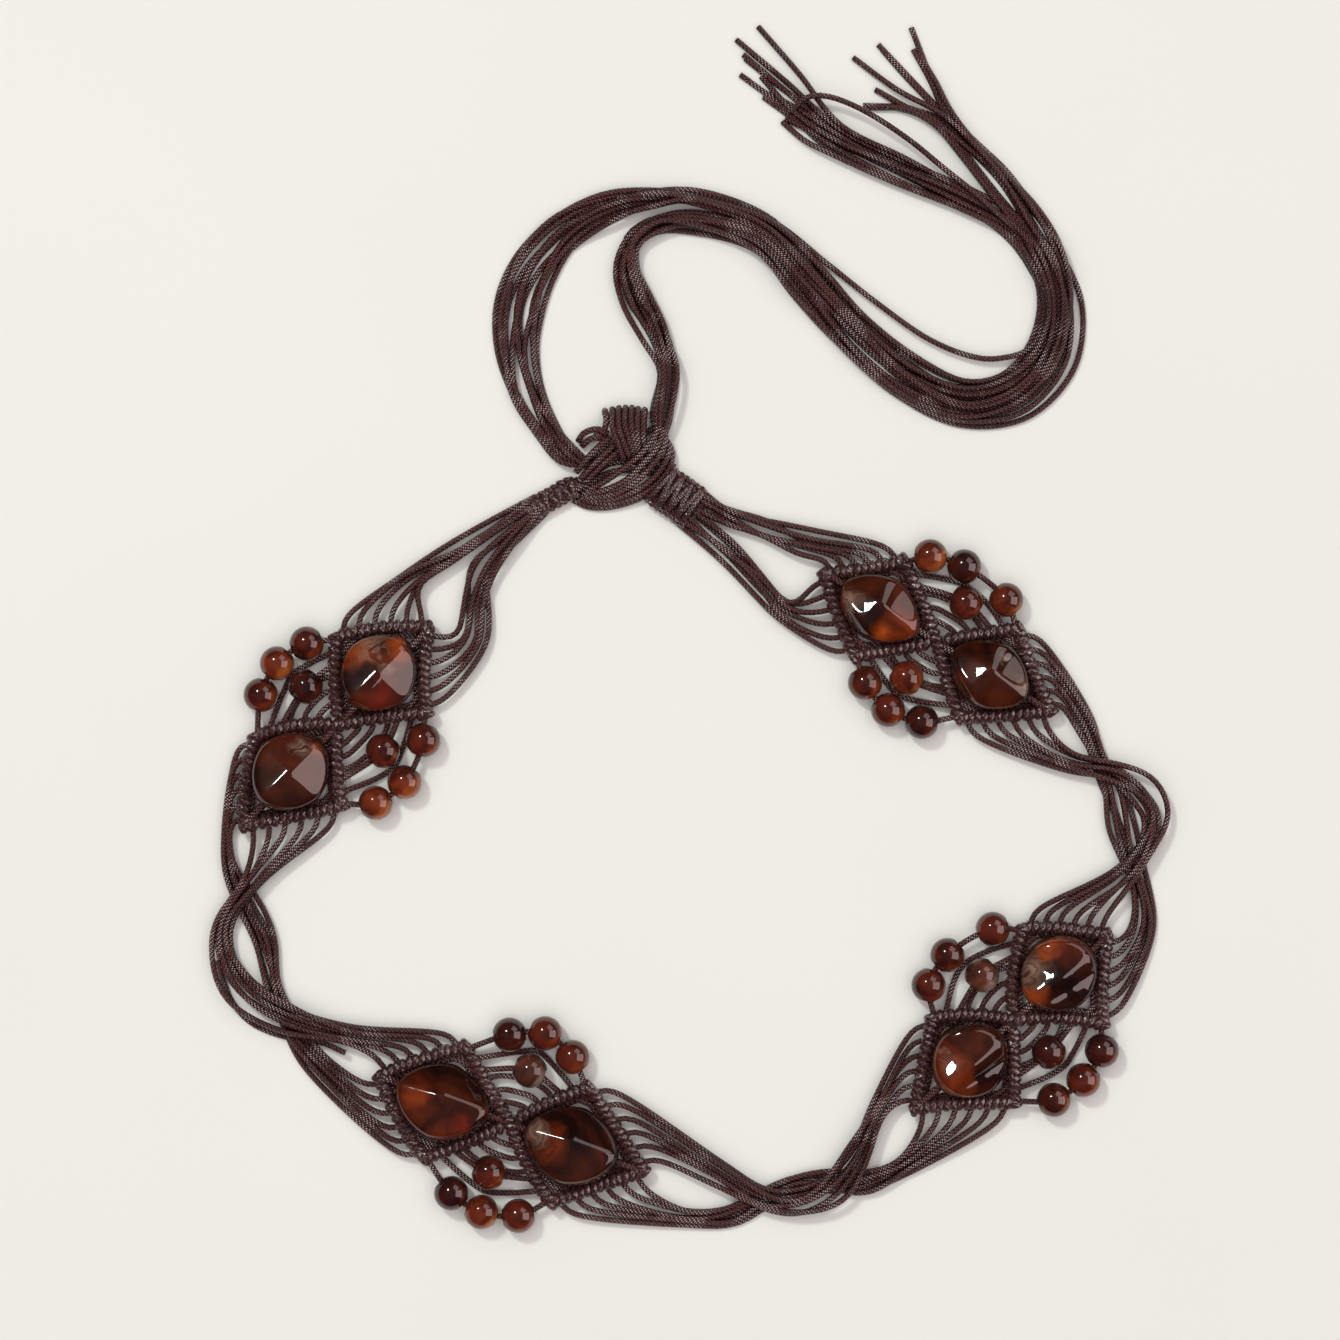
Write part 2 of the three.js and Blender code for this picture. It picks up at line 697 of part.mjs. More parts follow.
// A bridging cord runs straight through each bead, from a corner of one diamond to the other's.
function bridgePoints(from, beads, to) {
  const through = BEAD_HOLD_SHARE * BEAD_PITCH;
  const points = [from];
  beads.forEach((centre, i) => {
    const tangent = beadTangent(from, beads, to, i);
    points.push(centre.clone().addScaledVector(tangent, -through));
    points.push(centre.clone().addScaledVector(tangent, through));
  });
  points.push(to);
  return points;
}

const BEAD_HOLD_SHARE = 0.42;

function beadTangent(from, beads, to, i) {
  const before = i > 0 ? beads[i - 1] : from;
  const after = i < beads.length - 1 ? beads[i + 1] : to;
  return new THREE.Vector3().subVectors(after, before).setZ(0).normalize();
}

function addBead(group, name, centre, tangent) {
  const mesh = addPiece(group, name, bead, AMBER_RESIN);
  mesh.position.copy(centre);
  mesh.rotation.z = Math.atan2(tangent.y, tangent.x);
}

const INNER_BRIDGE_SHARE = 0.8;
const LOW_BRIDGE_SHARE = 0.32;

function notchBridges(notch, corners, beads) {
  const name = notch.side === 'inner' ? 'Inner' : 'Outer';
  const entry = corners[`entry${name}`];
  const exit = corners[`exit${name}`];
  const onRow = (corner, share) => new THREE.Vector3().lerpVectors(corners.middle, corner, share);
  const outerEnds = [entry, exit];
  const innerEnds = [onRow(entry, INNER_BRIDGE_SHARE), onRow(exit, INNER_BRIDGE_SHARE)];
  return {
    outerEnds,
    innerEnds,
    cords: [
      bridgePoints(outerEnds[0], beads.outer, outerEnds[1]),
      bridgePoints(innerEnds[0], [beads.inner], innerEnds[1]),
      [onRow(entry, LOW_BRIDGE_SHARE), onRow(exit, LOW_BRIDGE_SHARE)],
    ],
  };
}

// The outer row of a diamond's end, from its side corner to its tip
function motifEdge(corners, end, side) {
  const corner = corners[`${end}${side === 'inner' ? 'Inner' : 'Outer'}`];
  const tip = corners[`${end}Tip`];
  return [corner, rowMiddle(corner, tip, stoneCentre(corners, end)), tip];
}

// The rows round one diamond, from the middle of the motif and back to it
function diamondRow(corners, end) {
  const { middle } = corners;
  const centre = stoneCentre(corners, end);
  const inner = motifEdge(corners, end, 'inner');
  const outer = motifEdge(corners, end, 'outer');
  return [
    middle, rowMiddle(middle, inner[0], centre), ...inner,
    outer[1], outer[0], rowMiddle(middle, outer[0], centre), middle,
  ];
}

function stoneCore(corners, end) {
  const centre = stoneCentre(corners, end);
  const tip = corners[`${end}Tip`];
  const along = new THREE.Vector3((Math.sign(tip.x) * STONE_LENGTH) / 2, 0, 0);
  return [corners.middle, centre.clone().sub(along), centre.clone().add(along), tip];
}

function addMotif(motif, index) {
  const group = new THREE.Group();
  group.position.copy(loopPoint(motif));
  group.rotation.z = THREE.MathUtils.degToRad(motif.travelDeg);
  belt.add(group);
  const corners = motifCorners(index);
  const solids = [crossingKnot(corners.middle)];
  ['entry', 'exit'].forEach((end, i) => {
    solids.push(knottedRow(diamondRow(corners, end)));
    solids.push(cordAlong(stoneCore(corners, end), CORE_DIAMETER, STRAND_OUTLINE));
    const mesh = addPiece(group, `${motif.name}_stone_${i + 1}`, stone, SWIRLED_RESIN);
    mesh.position.copy(stoneCentre(corners, end));
  });
  let count = 0;
  NOTCHES.filter((notch) => notch.motif === index + 1).forEach((notch) => {
    const beads = notchBeads(notch, corners);
    const bridges = notchBridges(notch, corners, beads);
    bridges.cords.forEach((points) => solids.push(cordAlong(points, CORD_DIAMETER, STRAND_OUTLINE)));
    beads.outer.forEach((centre, i) => {
      count += 1;
      const tangent = beadTangent(bridges.outerEnds[0], beads.outer, bridges.outerEnds[1], i);
      addBead(group, `${motif.name}_bead_${count}`, centre, tangent);
    });
    count += 1;
    const tangent = beadTangent(bridges.innerEnds[0], [beads.inner], bridges.innerEnds[1], 0);
    addBead(group, `${motif.name}_bead_${count}`, beads.inner, tangent);
  });
  addPiece(group, `${motif.name}_frame`, joined(solids), WAXED_CORD);
}

MOTIFS.forEach(addMotif);

// Free strands

function toLoop(motif, point) {
  const turn = THREE.MathUtils.degToRad(motif.travelDeg);
  return point.clone().applyAxisAngle(new THREE.Vector3(0, 0, 1), turn).add(loopPoint(motif));
}

// Where the strands of one group leave a motif's edge, from its corner to its tip, and the way
// that each one leaves.
function edgeKnots(motifNumber, end, side) {
  const motif = MOTIFS[motifNumber - 1];
  const corners = motifCorners(motifNumber - 1);
  const centre = toLoop(motif, stoneCentre(corners, end)).setZ(0);
  const [corner, middle, tip] = motifEdge(corners, end, side).map((point) => toLoop(motif, point));
  const knots = [];
  for (let i = 0; i < STRANDS_PER_GROUP; i += 1) {
    const share = (2 * (i + 0.5)) / STRANDS_PER_GROUP;
    const [from, to] = share < 1 ? [corner, middle] : [middle, tip];
    const along = new THREE.Vector3().subVectors(to, from).normalize();
    const at = new THREE.Vector3().lerpVectors(from, to, share % 1);
    const out = new THREE.Vector3(along.y, -along.x, 0);
    if (out.dot(new THREE.Vector3().subVectors(at, centre)) < 0) {
      out.negate();
    }
    knots.push({ at: at.addScaledVector(out, ROW_WIDTH / 2 + KNOT_GAP), out });
  }
  return knots;
}

function stationsOf(rows) {
  return rows.map((row) => ({
    at: loopPoint(row),
    half: row.half * CORD_DIAMETER,
    lift: row.lift * CORD_DIAMETER,
  }));
}

// The middle of a fan, where its strands lie side by side, between its row and the bundle
function hubStation(knots, station) {
  const mean = new THREE.Vector3();
  knots.forEach((knot) => mean.addScaledVector(knot.at, 1 / knots.length));
  const at = new THREE.Vector3().lerpVectors(mean, station.at, HUB_SHARE);
  return {
    at: at.setZ(0),
    half: HUB_LOOSENESS * STRANDS_PER_GROUP * (CORD_DIAMETER / 2),
    lift: THREE.MathUtils.lerp(ROW_LIFT - CORD_DIAMETER, station.lift, HUB_SHARE),
  };
}

const HUB_SHARE = 0.72;
const HUB_LOOSENESS = 1.05;
const JOIN_TAPER = 0.6;
const HUB_INSET = 0.75;
const JOIN_DEPTH = 0.25;

// The strands of a fan: each runs from its knot on the row to its own place at the hub.
function fan(knots, hub, towards, cornerIsLeft) {
  const ahead = new THREE.Vector3().subVectors(towards.at, hub.at).setZ(0).normalize();
  const side = new THREE.Vector3(0, 0, 1).cross(ahead);
  const halfHeight = bandHalfHeight(hub.half, STRANDS_PER_GROUP);
  const spread = hub.half - HUB_INSET * CORD_DIAMETER;
  return knots.map((knot, i) => {
    const share = 1 - (2 * i) / (STRANDS_PER_GROUP - 1);
    const offset = (cornerIsLeft ? 1 : -1) * share * spread;
    const join = hub.at.clone().addScaledVector(side, offset).setZ(hub.lift + halfHeight);
    const reach = Math.min(STRAND_STUB, knot.at.distanceTo(join) / 2);
    const start = knot.at.clone().addScaledVector(knot.out, reach);
    const end = join.clone().addScaledVector(ahead, JOIN_DEPTH * CORD_DIAMETER);
    return taperedAlong([knot.at, start, end], CORD_DIAMETER, 1, JOIN_TAPER);
  });
}

const GROUP_STEPS = 8;

// One group of strands, from a motif's edge or a tie's face to another
function groupSolids({ stations, fromKnots, toKnots, side }) {
  const all = [...stations];
  const solids = [];
  if (fromKnots) {
    const hub = hubStation(fromKnots, stations[0]);
    solids.push(...fan(fromKnots, hub, stations[0], side === 'inner'));
    all.unshift(hub);
  }
  if (toKnots) {
    const nearest = stations[stations.length - 1];
    const hub = hubStation(toKnots, nearest);
    solids.push(...fan(toKnots, hub, nearest, side === 'outer'));
    all.push(hub);
  }
  solids.push(bandAlong(all, STRANDS_PER_GROUP, GROUP_STEPS));
  return solids;
}

const SIDES = ['inner', 'outer'];

RUNS.forEach((run) => {
  const solids = SIDES.flatMap((side) => groupSolids({
    stations: stationsOf(run[side]),
    fromKnots: edgeKnots(run.from, 'exit', side),
    toKnots: edgeKnots(run.to, 'entry', side),
    side,
  }));
  addPiece(belt, run.name, joined(solids), WAXED_CORD);
});

// The ties. Each half of a tie's face takes one group of strands.
const FACE_SPILL = 0.25;

function faceStation(face, width, sign) {
  const ahead = direction(face.travelDeg);
  const across = new THREE.Vector3(0, 0, 1).cross(ahead);
  return {
    at: loopPoint(face).addScaledVector(ahead, -CLEARANCE).addScaledVector(across, (sign * width) / 4),
    half: width / 4 + FACE_SPILL * CORD_DIAMETER,
    lift: 0,
    ahead,
  };
}

const endSolids = SIDES.flatMap((side) => groupSolids({
  stations: [
    ...stationsOf(RUN_END[side]),
    faceStation(WRAP_FACE, WRAP_WIDTH, side === 'inner' ? 1 : -1),
  ],
  fromKnots: edgeKnots(RUN_END.from, 'exit', side),
  side,
}));
addPiece(belt, RUN_END.name, joined(endSolids), WAXED_CORD);

const startSolids = SIDES.flatMap((side) => {
  const face = faceStation(SINNET_FACE, SINNET_WIDTH, side === 'inner' ? -1 : 1);
  face.ahead.negate();
  return groupSolids({
    stations: [face, ...stationsOf(RUN_START[side])],
    toKnots: edgeKnots(RUN_START.to, 'entry', side),
    side,
  });
});
addPiece(belt, RUN_START.name, joined(startSolids), WAXED_CORD);

function wrapSolid(grow = 0) {
  const ahead = direction(WRAP_FACE.travelDeg);
  const start = loopPoint(WRAP_FACE, WRAP_THICKNESS / 2).addScaledVector(ahead, -grow);
  const end = loopPoint(WRAP_FACE, WRAP_THICKNESS / 2).addScaledVector(ahead, WRAP_LENGTH + grow);
  return sweep([start, end].map((at) => ({
    at,
    halfWidth: WRAP_WIDTH / 2 + grow,
    halfHeight: WRAP_THICKNESS / 2 + grow,
  })), BAND_OUTLINE);
}

function sinnetSolid(grow = 0) {
  const ahead = direction(SINNET_FACE.travelDeg);
  const steps = 2 * SINNET_KNOTS;
  const waist = 0.72;
  const places = [];
  for (let i = 0; i <= steps; i += 1) {
    const swell = i % 2 === 1 ? 1 : waist;
    const along = (i / steps) * (SINNET_LENGTH + 2 * grow) - grow;
    places.push({
      at: loopPoint(SINNET_FACE, SINNET_THICKNESS / 2).addScaledVector(ahead, along),
      halfWidth: (swell * SINNET_WIDTH) / 2 + grow,
      halfHeight: (swell * SINNET_THICKNESS) / 2 + grow,
    });
  }
  return sweep(places, BAND_OUTLINE);
}

addPiece(belt, 'wrap', wrapSolid(), WAXED_CORD);
addPiece(belt, 'sinnet', sinnetSolid(), WAXED_CORD);

// The loose ends

function tailPoint(place) {
  const knot = loopPoint(KNOT_CENTRE);
  return new THREE.Vector3(knot.x + place.x * TAIL_SPAN, knot.y + place.y * TAIL_RISE, 0);
}

function tailStations(rows) {
  return rows.map((row) => ({ at: tailPoint(row), half: row.half * CORD_DIAMETER, lift: 0 }));
}

const leftStations = tailStations(TAIL_LEFT);
const rightStations = tailStations(TAIL_RIGHT);
const mainStations = tailStations(TAIL_MAIN);
const merge = direction(MERGE_TRAVEL_DEG);
const mergeSide = new THREE.Vector3(0, 0, 1).cross(merge);
const leftEnd = leftStations[leftStations.length - 1];
const rightEnd = rightStations[rightStations.length - 1];
const mainStart = mainStations[0];
leftEnd.ahead = merge;
rightEnd.ahead = merge;
mainStart.ahead = merge;

// The two halves meet the joined tail side by side, in one plane across it.
function seatAtMerge(station, offset, back) {
  station.at.copy(mainStart.at).addScaledVector(mergeSide, offset).addScaledVector(merge, -back);
}

seatAtMerge(leftEnd, leftEnd.half + CLEARANCE / 2, CLEARANCE);
seatAtMerge(rightEnd, -rightEnd.half - CLEARANCE / 2, CLEARANCE);

const TAIL_STRANDS = 12;
const TAIL_STEPS = 12;
const LOCK_STEPS = 3;

function lock(group, end, index) {
  const places = group.places;
  const last = tailPoint(places[places.length - 1]);
  const before = tailPoint(places[places.length - 2]);
  const ahead = new THREE.Vector3().subVectors(last, before).normalize();
  const side = new THREE.Vector3(0, 0, 1).cross(ahead);
  const count = group.locks.length;
  const share = 1 - (2 * index) / (count - 1);
  const spread = places[places.length - 1].half * CORD_DIAMETER - LOCK_DIAMETER / 2;
  const rest = LOCK_DIAMETER / 2;
  const start = last.clone().addScaledVector(side, -share * spread).addScaledVector(ahead, -LOCK_DIAMETER);
  const tip = tailPoint(end);
  const lead = start.distanceTo(tip) / 2;
  const middle = start.clone().addScaledVector(ahead, lead);
  const points = new THREE.QuadraticBezierCurve3(start, middle, tip).getSpacedPoints(LOCK_STEPS);
  return taperedAlong(points.map((point) => point.setZ(rest)), LOCK_DIAMETER, JOIN_TAPER, 1);
}

addPiece(belt, 'tail_left', bandAlong(leftStations, TAIL_STRANDS, TAIL_STEPS), WAXED_CORD);
addPiece(belt, 'tail_right', bandAlong(rightStations, TAIL_STRANDS, TAIL_STEPS), WAXED_CORD);
const tasselSolids = TASSEL_GROUPS.flatMap((group) => [
  bandAlong(tailStations(group.places), group.strands, TAIL_STEPS / 2),
  ...group.locks.map((end, i) => lock(group, end, i)),
]);
addPiece(belt, 'tail_main', joined([
  bandAlong(mainStations, 2 * TAIL_STRANDS, TAIL_STEPS),
  ...tasselSolids,
]), WAXED_CORD);

// The tie knot: bands that cross over each other, cleared where the ties and the ends enter

const KNOT_STEPS = 6;

function knotBand(band) {
  const centre = loopPoint(KNOT_CENTRE);
  const points = smoothPoints(band.places.map((place) => new THREE.Vector3(
    centre.x + place.x * KNOT_SPAN,
    centre.y + place.y * KNOT_SPAN,
    (place.lift + band.tall / 2) * CORD_DIAMETER,
  )), KNOT_STEPS);
  return sweep(points.map((at) => ({
    at,
    halfWidth: band.half * CORD_DIAMETER,
    halfHeight: (band.tall * CORD_DIAMETER) / 2,
  })), BAND_OUTLINE);
}

const neighbours = joined([
  wrapSolid(CLEARANCE),
  sinnetSolid(CLEARANCE),
  bandAlong(leftStations, TAIL_STRANDS, TAIL_STEPS, CLEARANCE),
  bandAlong(rightStations, TAIL_STRANDS, TAIL_STEPS, CLEARANCE),
]);
const knot = joined(KNOT_BANDS.map(knotBand)).subtract(neighbours);
addPiece(belt, 'tie_knot', knot, WAXED_CORD);

// The origin is under the middle of the whole belt, on the surface that it lies on.
const whole = new THREE.Box3().setFromObject(belt, true);
const middleOfBelt = whole.getCenter(new THREE.Vector3());
belt.position.set(-middleOfBelt.x, -middleOfBelt.y, -whole.min.z);

export default belt;
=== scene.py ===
"""The looks of the knotted belt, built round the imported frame.

Lengths are millimetres in the row's frame until a mesh is made. A motif's own u runs along the
belt's travel and v to its left, which is the side of the waist."""

import math

import bpy
import numpy as np
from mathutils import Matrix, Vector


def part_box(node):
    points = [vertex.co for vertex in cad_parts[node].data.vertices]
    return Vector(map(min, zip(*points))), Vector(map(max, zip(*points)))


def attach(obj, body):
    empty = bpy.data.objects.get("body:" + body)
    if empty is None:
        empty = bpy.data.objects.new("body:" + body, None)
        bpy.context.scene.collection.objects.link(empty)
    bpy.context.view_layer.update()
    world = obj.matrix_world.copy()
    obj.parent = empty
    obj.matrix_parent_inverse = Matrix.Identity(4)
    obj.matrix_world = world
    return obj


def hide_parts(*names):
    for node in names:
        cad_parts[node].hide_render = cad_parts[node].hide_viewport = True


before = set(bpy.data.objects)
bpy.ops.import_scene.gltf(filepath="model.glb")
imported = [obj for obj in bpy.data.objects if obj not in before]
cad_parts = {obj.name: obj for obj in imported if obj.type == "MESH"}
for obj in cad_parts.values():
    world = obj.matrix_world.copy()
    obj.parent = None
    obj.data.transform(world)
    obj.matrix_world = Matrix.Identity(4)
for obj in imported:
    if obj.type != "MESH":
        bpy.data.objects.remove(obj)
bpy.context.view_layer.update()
rng = np.random.default_rng(11)

UP = np.array([0, 0, 1.0])
MM = 1000

# Cord. Bare strands are thinner than the cord pulled up in the knots; cores lie under the turns.
CORD = 2.0
CORD_RADIUS = CORD / 2
BARE_RADIUS = 0.87
CORE_RADIUS = 1.2
ROW_CORE_RADIUS = 1.3
LINING_RADIUS = 1.1
TIE_RADIUS = CORD_RADIUS * 0.96
TUBE_SIDES = 8
THICK_SIDES = 10
CORE_SIDES = 6
# How far apart a tube's rings stand: on free strands, in the tail, on cores and on short cords
STRAND_STEP = 2.4
TAIL_STEP = 2.8
CORE_STEP = 3
SHORT_STEP = 1.6
ARCH_STEP = 1.3
# Where less than this share of a line's direction is level, its tube keeps the side that it had
STEEP = 0.3
# A strand's braid starts anywhere in this length
BRAID_PHASE = 6

# Knotted rows: one lies over the other where they cross in the middle of a motif
ROW_LIFT = 4.6
ROW_WIDTH = 3.8
OVER_LIFT = 0.35
LEAST_BOW = -1.5
OVER_ROWS = (("entry", "inner"), ("exit", "outer"))
OTHER_SIDE = {"inner": "outer", "outer": "inner"}
# Hitches: how far apart, how far out the cord's middle turns, and from where to where
HITCH_PITCH = 2.05
WRAP_ROUND = 0.87
HITCH_ARC = (-0.4 * math.pi, 1.4 * math.pi)
HITCH_POINTS = 13
# The cord along a row's inner side, and short cords that turn back in a diamond's corners
LINING_INSET = 0.5
LINING_LIFT = 2.6
CORNER_LOOPS = ((0.16, 0.84), (0.26, 0.76))
CORNER_LOOP_LIFT = 3.4
CORNER_LOOP_STUB = 1.6
TIP_LOOP = {"share": 0.86, "lift": 3.2, "stub": 1.4}
# The cord through the stones: shares of the way to the tip, and heights
CORE_SHARES = (0, 0.2, 0.5, 0.8, 1)
CORE_HEIGHTS = (ROW_LIFT, 6.2, 7.4, 6.2, ROW_LIFT)
# Bridging cords in a notch: where on the rows, how far they bow out, and height
BRIDGES = ((0.56, 3.6, 2.6), (0.4, 2.2, 3.4), (0.25, 1.0, 3.8))
WEAVE_HEIGHT = 1.2

# Diamonds and beads
DIAMOND_LENGTH = 40.0
DIAMOND_WIDTH = 35.0
BEAD_DIAMETER = 10.4
BEAD_HOLE = 3.6
BEAD_TURNS = 40

# The laid loop, its ties and its loose ends
LOOP_WIDTH = 288.0
LOOP_DEPTH = 230.0
WRAP_WIDTH = 13.4
WRAP_THICKNESS = 6.0
WRAP_LENGTH = 13.0
WRAP_TURNS = 8
WRAP_EDGE_KNOTS = 7
SINNET_WIDTH = 7.0
SINNET_THICKNESS = 4.6
SINNET_LENGTH = 17.0
SINNET_KNOTS = 8
TAIL_SPAN = 133.0
TAIL_RISE = 129.0
# Strands in one of a run's two groups, and in one half of the tail
GROUP = 6
BUNDLE = 12

# The photograph's frame
PIXEL = 0.3
PHOTO_SIZE = 1340
LOOP_CENTRE_PX = (685.5, 857.0)
CAMERA_HEIGHT = 1600.0
SENSOR = 36.0

MOTIFS = [
    {"name": "motif_1", "x": -0.722, "y": 0.344, "travel": 226.8},
    {"name": "motif_2", "x": -0.364, "y": -0.691, "travel": -19.9},
    {"name": "motif_3", "x": 0.68, "y": -0.423, "travel": 41.9},
    {"name": "motif_4", "x": 0.522, "y": 0.561, "travel": 148.5},
]
# Tips: along. Side corners: along and out, as in the solids.
CORNER_NAMES = ("entry_tip", "exit_tip", "entry_inner", "entry_outer", "exit_inner", "exit_outer")
CORNERS = [dict(zip(CORNER_NAMES, places)) for places in (
    (-1.0, 1.03, (-0.52, 0.97), (-0.47, 1.06), (0.42, 1.0), (0.49, 0.9)),
    (-1.04, 1.06, (-0.51, 0.97), (-0.52, 1.07), (0.46, 1.03), (0.49, 1.04)),
    (-0.99, 0.95, (-0.44, 0.95), (-0.41, 1.08), (0.52, 1.06), (0.48, 1.09)),
    (-1.0, 0.99, (-0.44, 0.92), (-0.47, 0.93), (0.47, 0.95), (0.53, 0.9)),
)]
# Which side each motif's beads 1 to 4 stand on; 5 to 8 stand on the other.
FIRST_SIDE = ["outer", "inner", "inner", "inner"]

# How a stone is cut. Its crest and brows are rounded by these shares of its size, the sharpness
# sets how narrow its edges are, and the pillow is the soft body that the facets cut.
CREST_ROUND = 0.10
SHARP_BROW = 0.035
CUT_UP = 7.8
CUT_SHARPNESS = 26
PILLOW = 2.5
STONE_RINGS = 97
STONE_TURNS = 96
STONE_POLE = 0.02
STONE_FACE = 5.0
# The groove beside the crest: how far out it runs, how that changes along the stone, its width
GROOVE_PLACE = 4.6
GROOVE_DRIFT = 1.2
GROOVE_WIDTH = 1.25
# What a motif's two stones share: twist in degrees, groove's depth, brows at front and back
STONE_KINDS = {
    "motif_1": {"twist": 0, "groove": 0, "brow": (SHARP_BROW, SHARP_BROW)},
    "motif_2": {"twist": -8, "groove": 0, "brow": (SHARP_BROW, 0.44)},
    "motif_3": {"twist": 14, "groove": 0.42, "brow": (SHARP_BROW, SHARP_BROW)},
    "motif_4": {"twist": 16, "groove": 0, "brow": (0.28, SHARP_BROW)},
}
# Reach is each half size of the pillow, and plan how square its outline is; cut is where the
# facets would meet the axes at front and back, along and across, and so how steep they are; ridge
# rolls the crest towards the waist; tilt lifts the front; shift is the stone's own place in its
# diamond, x and y. Tints are places from its middle: x, y and how wide.
STONE_FIELDS = ("reach", "plan", "cut", "ridge", "tilt", "shift", "tints")
STONES = [{"name": name, **dict(zip(STONE_FIELDS, fields))} for name, *fields in (
    ("motif_1_stone_1", (12.8, 11.5, 9.2), 1.7,
     ((120, 70), (19.5, 19.5)), 0, 0.126, (-1.25, 1.2),
     [("orange", -6.0, 5.0, 3.4), ("orange", 6.4, 8.0, 3.0), ("beige", -1.6, 5.4, 3.2),
      ("beige", 2.2, -0.4, 2.0), ("black", -9.0, -3.5, 4.6), ("red", 0.0, -8.0, 4.5)]),
    ("motif_1_stone_2", (13.1, 11.5, 9.2), 1.7,
     ((120, 70), (19.5, 19.5)), 0, 0.142, (0.2, 1.3),
     [("beige", 2.4, 8.6, 2.6), ("orange", 9.0, 7.4, 2.6), ("brown", -5.0, 6.0, 4.5),
      ("brown", 5.0, 0.5, 4.5), ("brown", -4.0, -8.5, 3.6)]),
    ("motif_2_stone_1", (14.7, 11.8, 9.0), 1.62,
     ((48, 21.5), (18.0, 18.0)), -20, 0.0, (-0.75, -0.5),
     [("amber", -8.0, 0.5, 4.6), ("red", 5.4, -7.2, 3.0), ("amber", -3.2, 8.6, 1.8),
      ("brown", 4.0, 6.0, 4.0)]),
    ("motif_2_stone_2", (14.7, 12.0, 9.0), 1.65,
     ((48, 21.5), (18.5, 18.5)), -18, 0.0, (-1.7, 0.6),
     [("amber", -5.6, 1.0, 3.6), ("beige", -11.0, 5.0, 2.4), ("brown", 2.0, -7.5, 4.6),
      ("black", 4.0, 1.0, 3.4)]),
    ("motif_3_stone_1", (12.5, 11.3, 9.2), 1.75,
     ((70, 150), (21.0, 17.0)), 10, -0.075, (1.7, 1.6),
     [("amber", -6.0, -1.5, 4.8), ("beige", -8.6, 2.4, 2.2), ("brown", 3.0, 6.5, 4.5),
      ("amber", -3.0, -8.0, 3.0)]),
    ("motif_3_stone_2", (12.4, 11.3, 9.2), 1.8,
     ((70, 130), (21.0, 16.5)), 6, -0.07, (-0.6, 1.4),
     [("beige", -7.4, 2.0, 3.4), ("orange", -2.6, 8.4, 3.4), ("orange", -8.6, -5.6, 3.0),
      ("black", 4.0, -4.0, 6.5)]),
    ("motif_4_stone_1", (13.3, 10.5, 9.0), 1.55,
     ((18, 40), (48.0, 17.5)), 9, 0.0, (-1.3, 0.5),
     [("brown", -6.5, 0.0, 4.0), ("beige", 3.6, 4.6, 1.8), ("brown", 2.0, -5.0, 4.0),
      ("beige", 9.6, -3.0, 2.0)]),
    ("motif_4_stone_2", (13.5, 9.9, 9.0), 1.6,
     ((18, 40), (48.0, 17.5)), 9, 0.0, (-0.2, -0.5),
     [("beige", -8.2, 2.2, 2.8), ("brown", -5.0, 7.4, 3.0), ("orange", 1.6, -7.0, 2.6),
      ("amber", 7.4, -4.4, 3.4), ("black", -1.0, -1.5, 3.4)]),
)]

# Looks. A ramp's stops hold a position and a colour, or one number for a grey.
# The braid has slanted plaits side by side; its dashes carry painted glints near the top of a
# strand.
PLAITS = 4
PLAIT_LENGTH = 1.0
PLAIT_SLANT = 0.25
# Painted glints: where round the cord they sit, their colour, the patches that carry them, and how
# far round they spread
GLINT_TURN = 0.29
GLINT_COLOUR = (0.62, 0.51, 0.48)
GLINT_PATCHES = [(0.51, 0.0), (0.62, 1.0)]
GLINT_SPREAD = [(0.35, 0.0), (0.7, 1.0)]
# Painted shade on a strand's flanks, by how far round from its top
PAINTED_FLANK_SHADE = [(0.1, 0.10), (0.85, 1.12)]
WAX = [(0.3, (0.066, 0.021, 0.019)), (0.7, (0.114, 0.038, 0.034))]
WAX_ROUGHNESS = [(0.3, 0.26), (0.7, 0.40)]
FUZZ_DEPTH = 0.35
# Each look's first ramp paints shade into the valleys between plaits, and on bare cord painted
# light onto the plait tops; dashes set where painted glints go
CORD_LOOKS = {
    "waxed_cord": {"painted_braid_shade_and_light": [(0.15, 0.06), (0.5, 0.7), (0.88, 1.6)],
                   "dashes": [(0.72, 0.0), (0.86, 1.0)], "bump": (1.0, 0.00035),
                   "gloss": {"Specular IOR Level": 0.15, "Coat Weight": 0.5,
                             "Coat Roughness": 0.14}},
    "waxed_knots": {"painted_braid_shade_and_light": [(0.1, 0.28), (0.5, 0.58), (0.95, 0.98)],
                    "dashes": [(0.62, 0.0), (0.72, 0.8)], "bump": (0.6, 0.00025),
                    "gloss": {"Specular IOR Level": 0.4, "Coat Weight": 1.0,
                              "Coat Roughness": 0.16}},
}
# Resin: scales of its noises in turns a metre, and how far its tints are stirred in metres
CLOUD_SCALE = 50
DRIFT_SCALE = 75
THREAD_SCALE = 70
RIPPLE_SCALE = 140
RIPPLE = (0.15, 0.0003)
WARP = 0.013
TINT_SPREAD = 1.75
CLOUDS = [(0.35, (0.011, 0.003, 0.002)), (0.53, (0.042, 0.007, 0.003)),
          (0.7, (0.115, 0.016, 0.005))]
THREADS = [(0.38, 0.05), (0.47, 0.75), (0.53, 0.22), (0.6, 0.6), (0.7, 0.1)]
CLEARNESS = [(0.35, 0.45), (0.6, 1.0)]
TINT_EDGE = [(0.1, 0.9), (0.5, 0.5), (1.0, 0.0)]
TINTS = {"orange": (0.42, 0.068, 0.008), "amber": (0.23, 0.034, 0.006),
         "red": (0.17, 0.013, 0.004), "brown": (0.085, 0.016, 0.005),
         "beige": (0.36, 0.22, 0.15), "black": (0.007, 0.003, 0.003)}
RESIN_GLOSS = {"Roughness": 0.3, "Specular IOR Level": 0.05, "Coat Weight": 1.0}
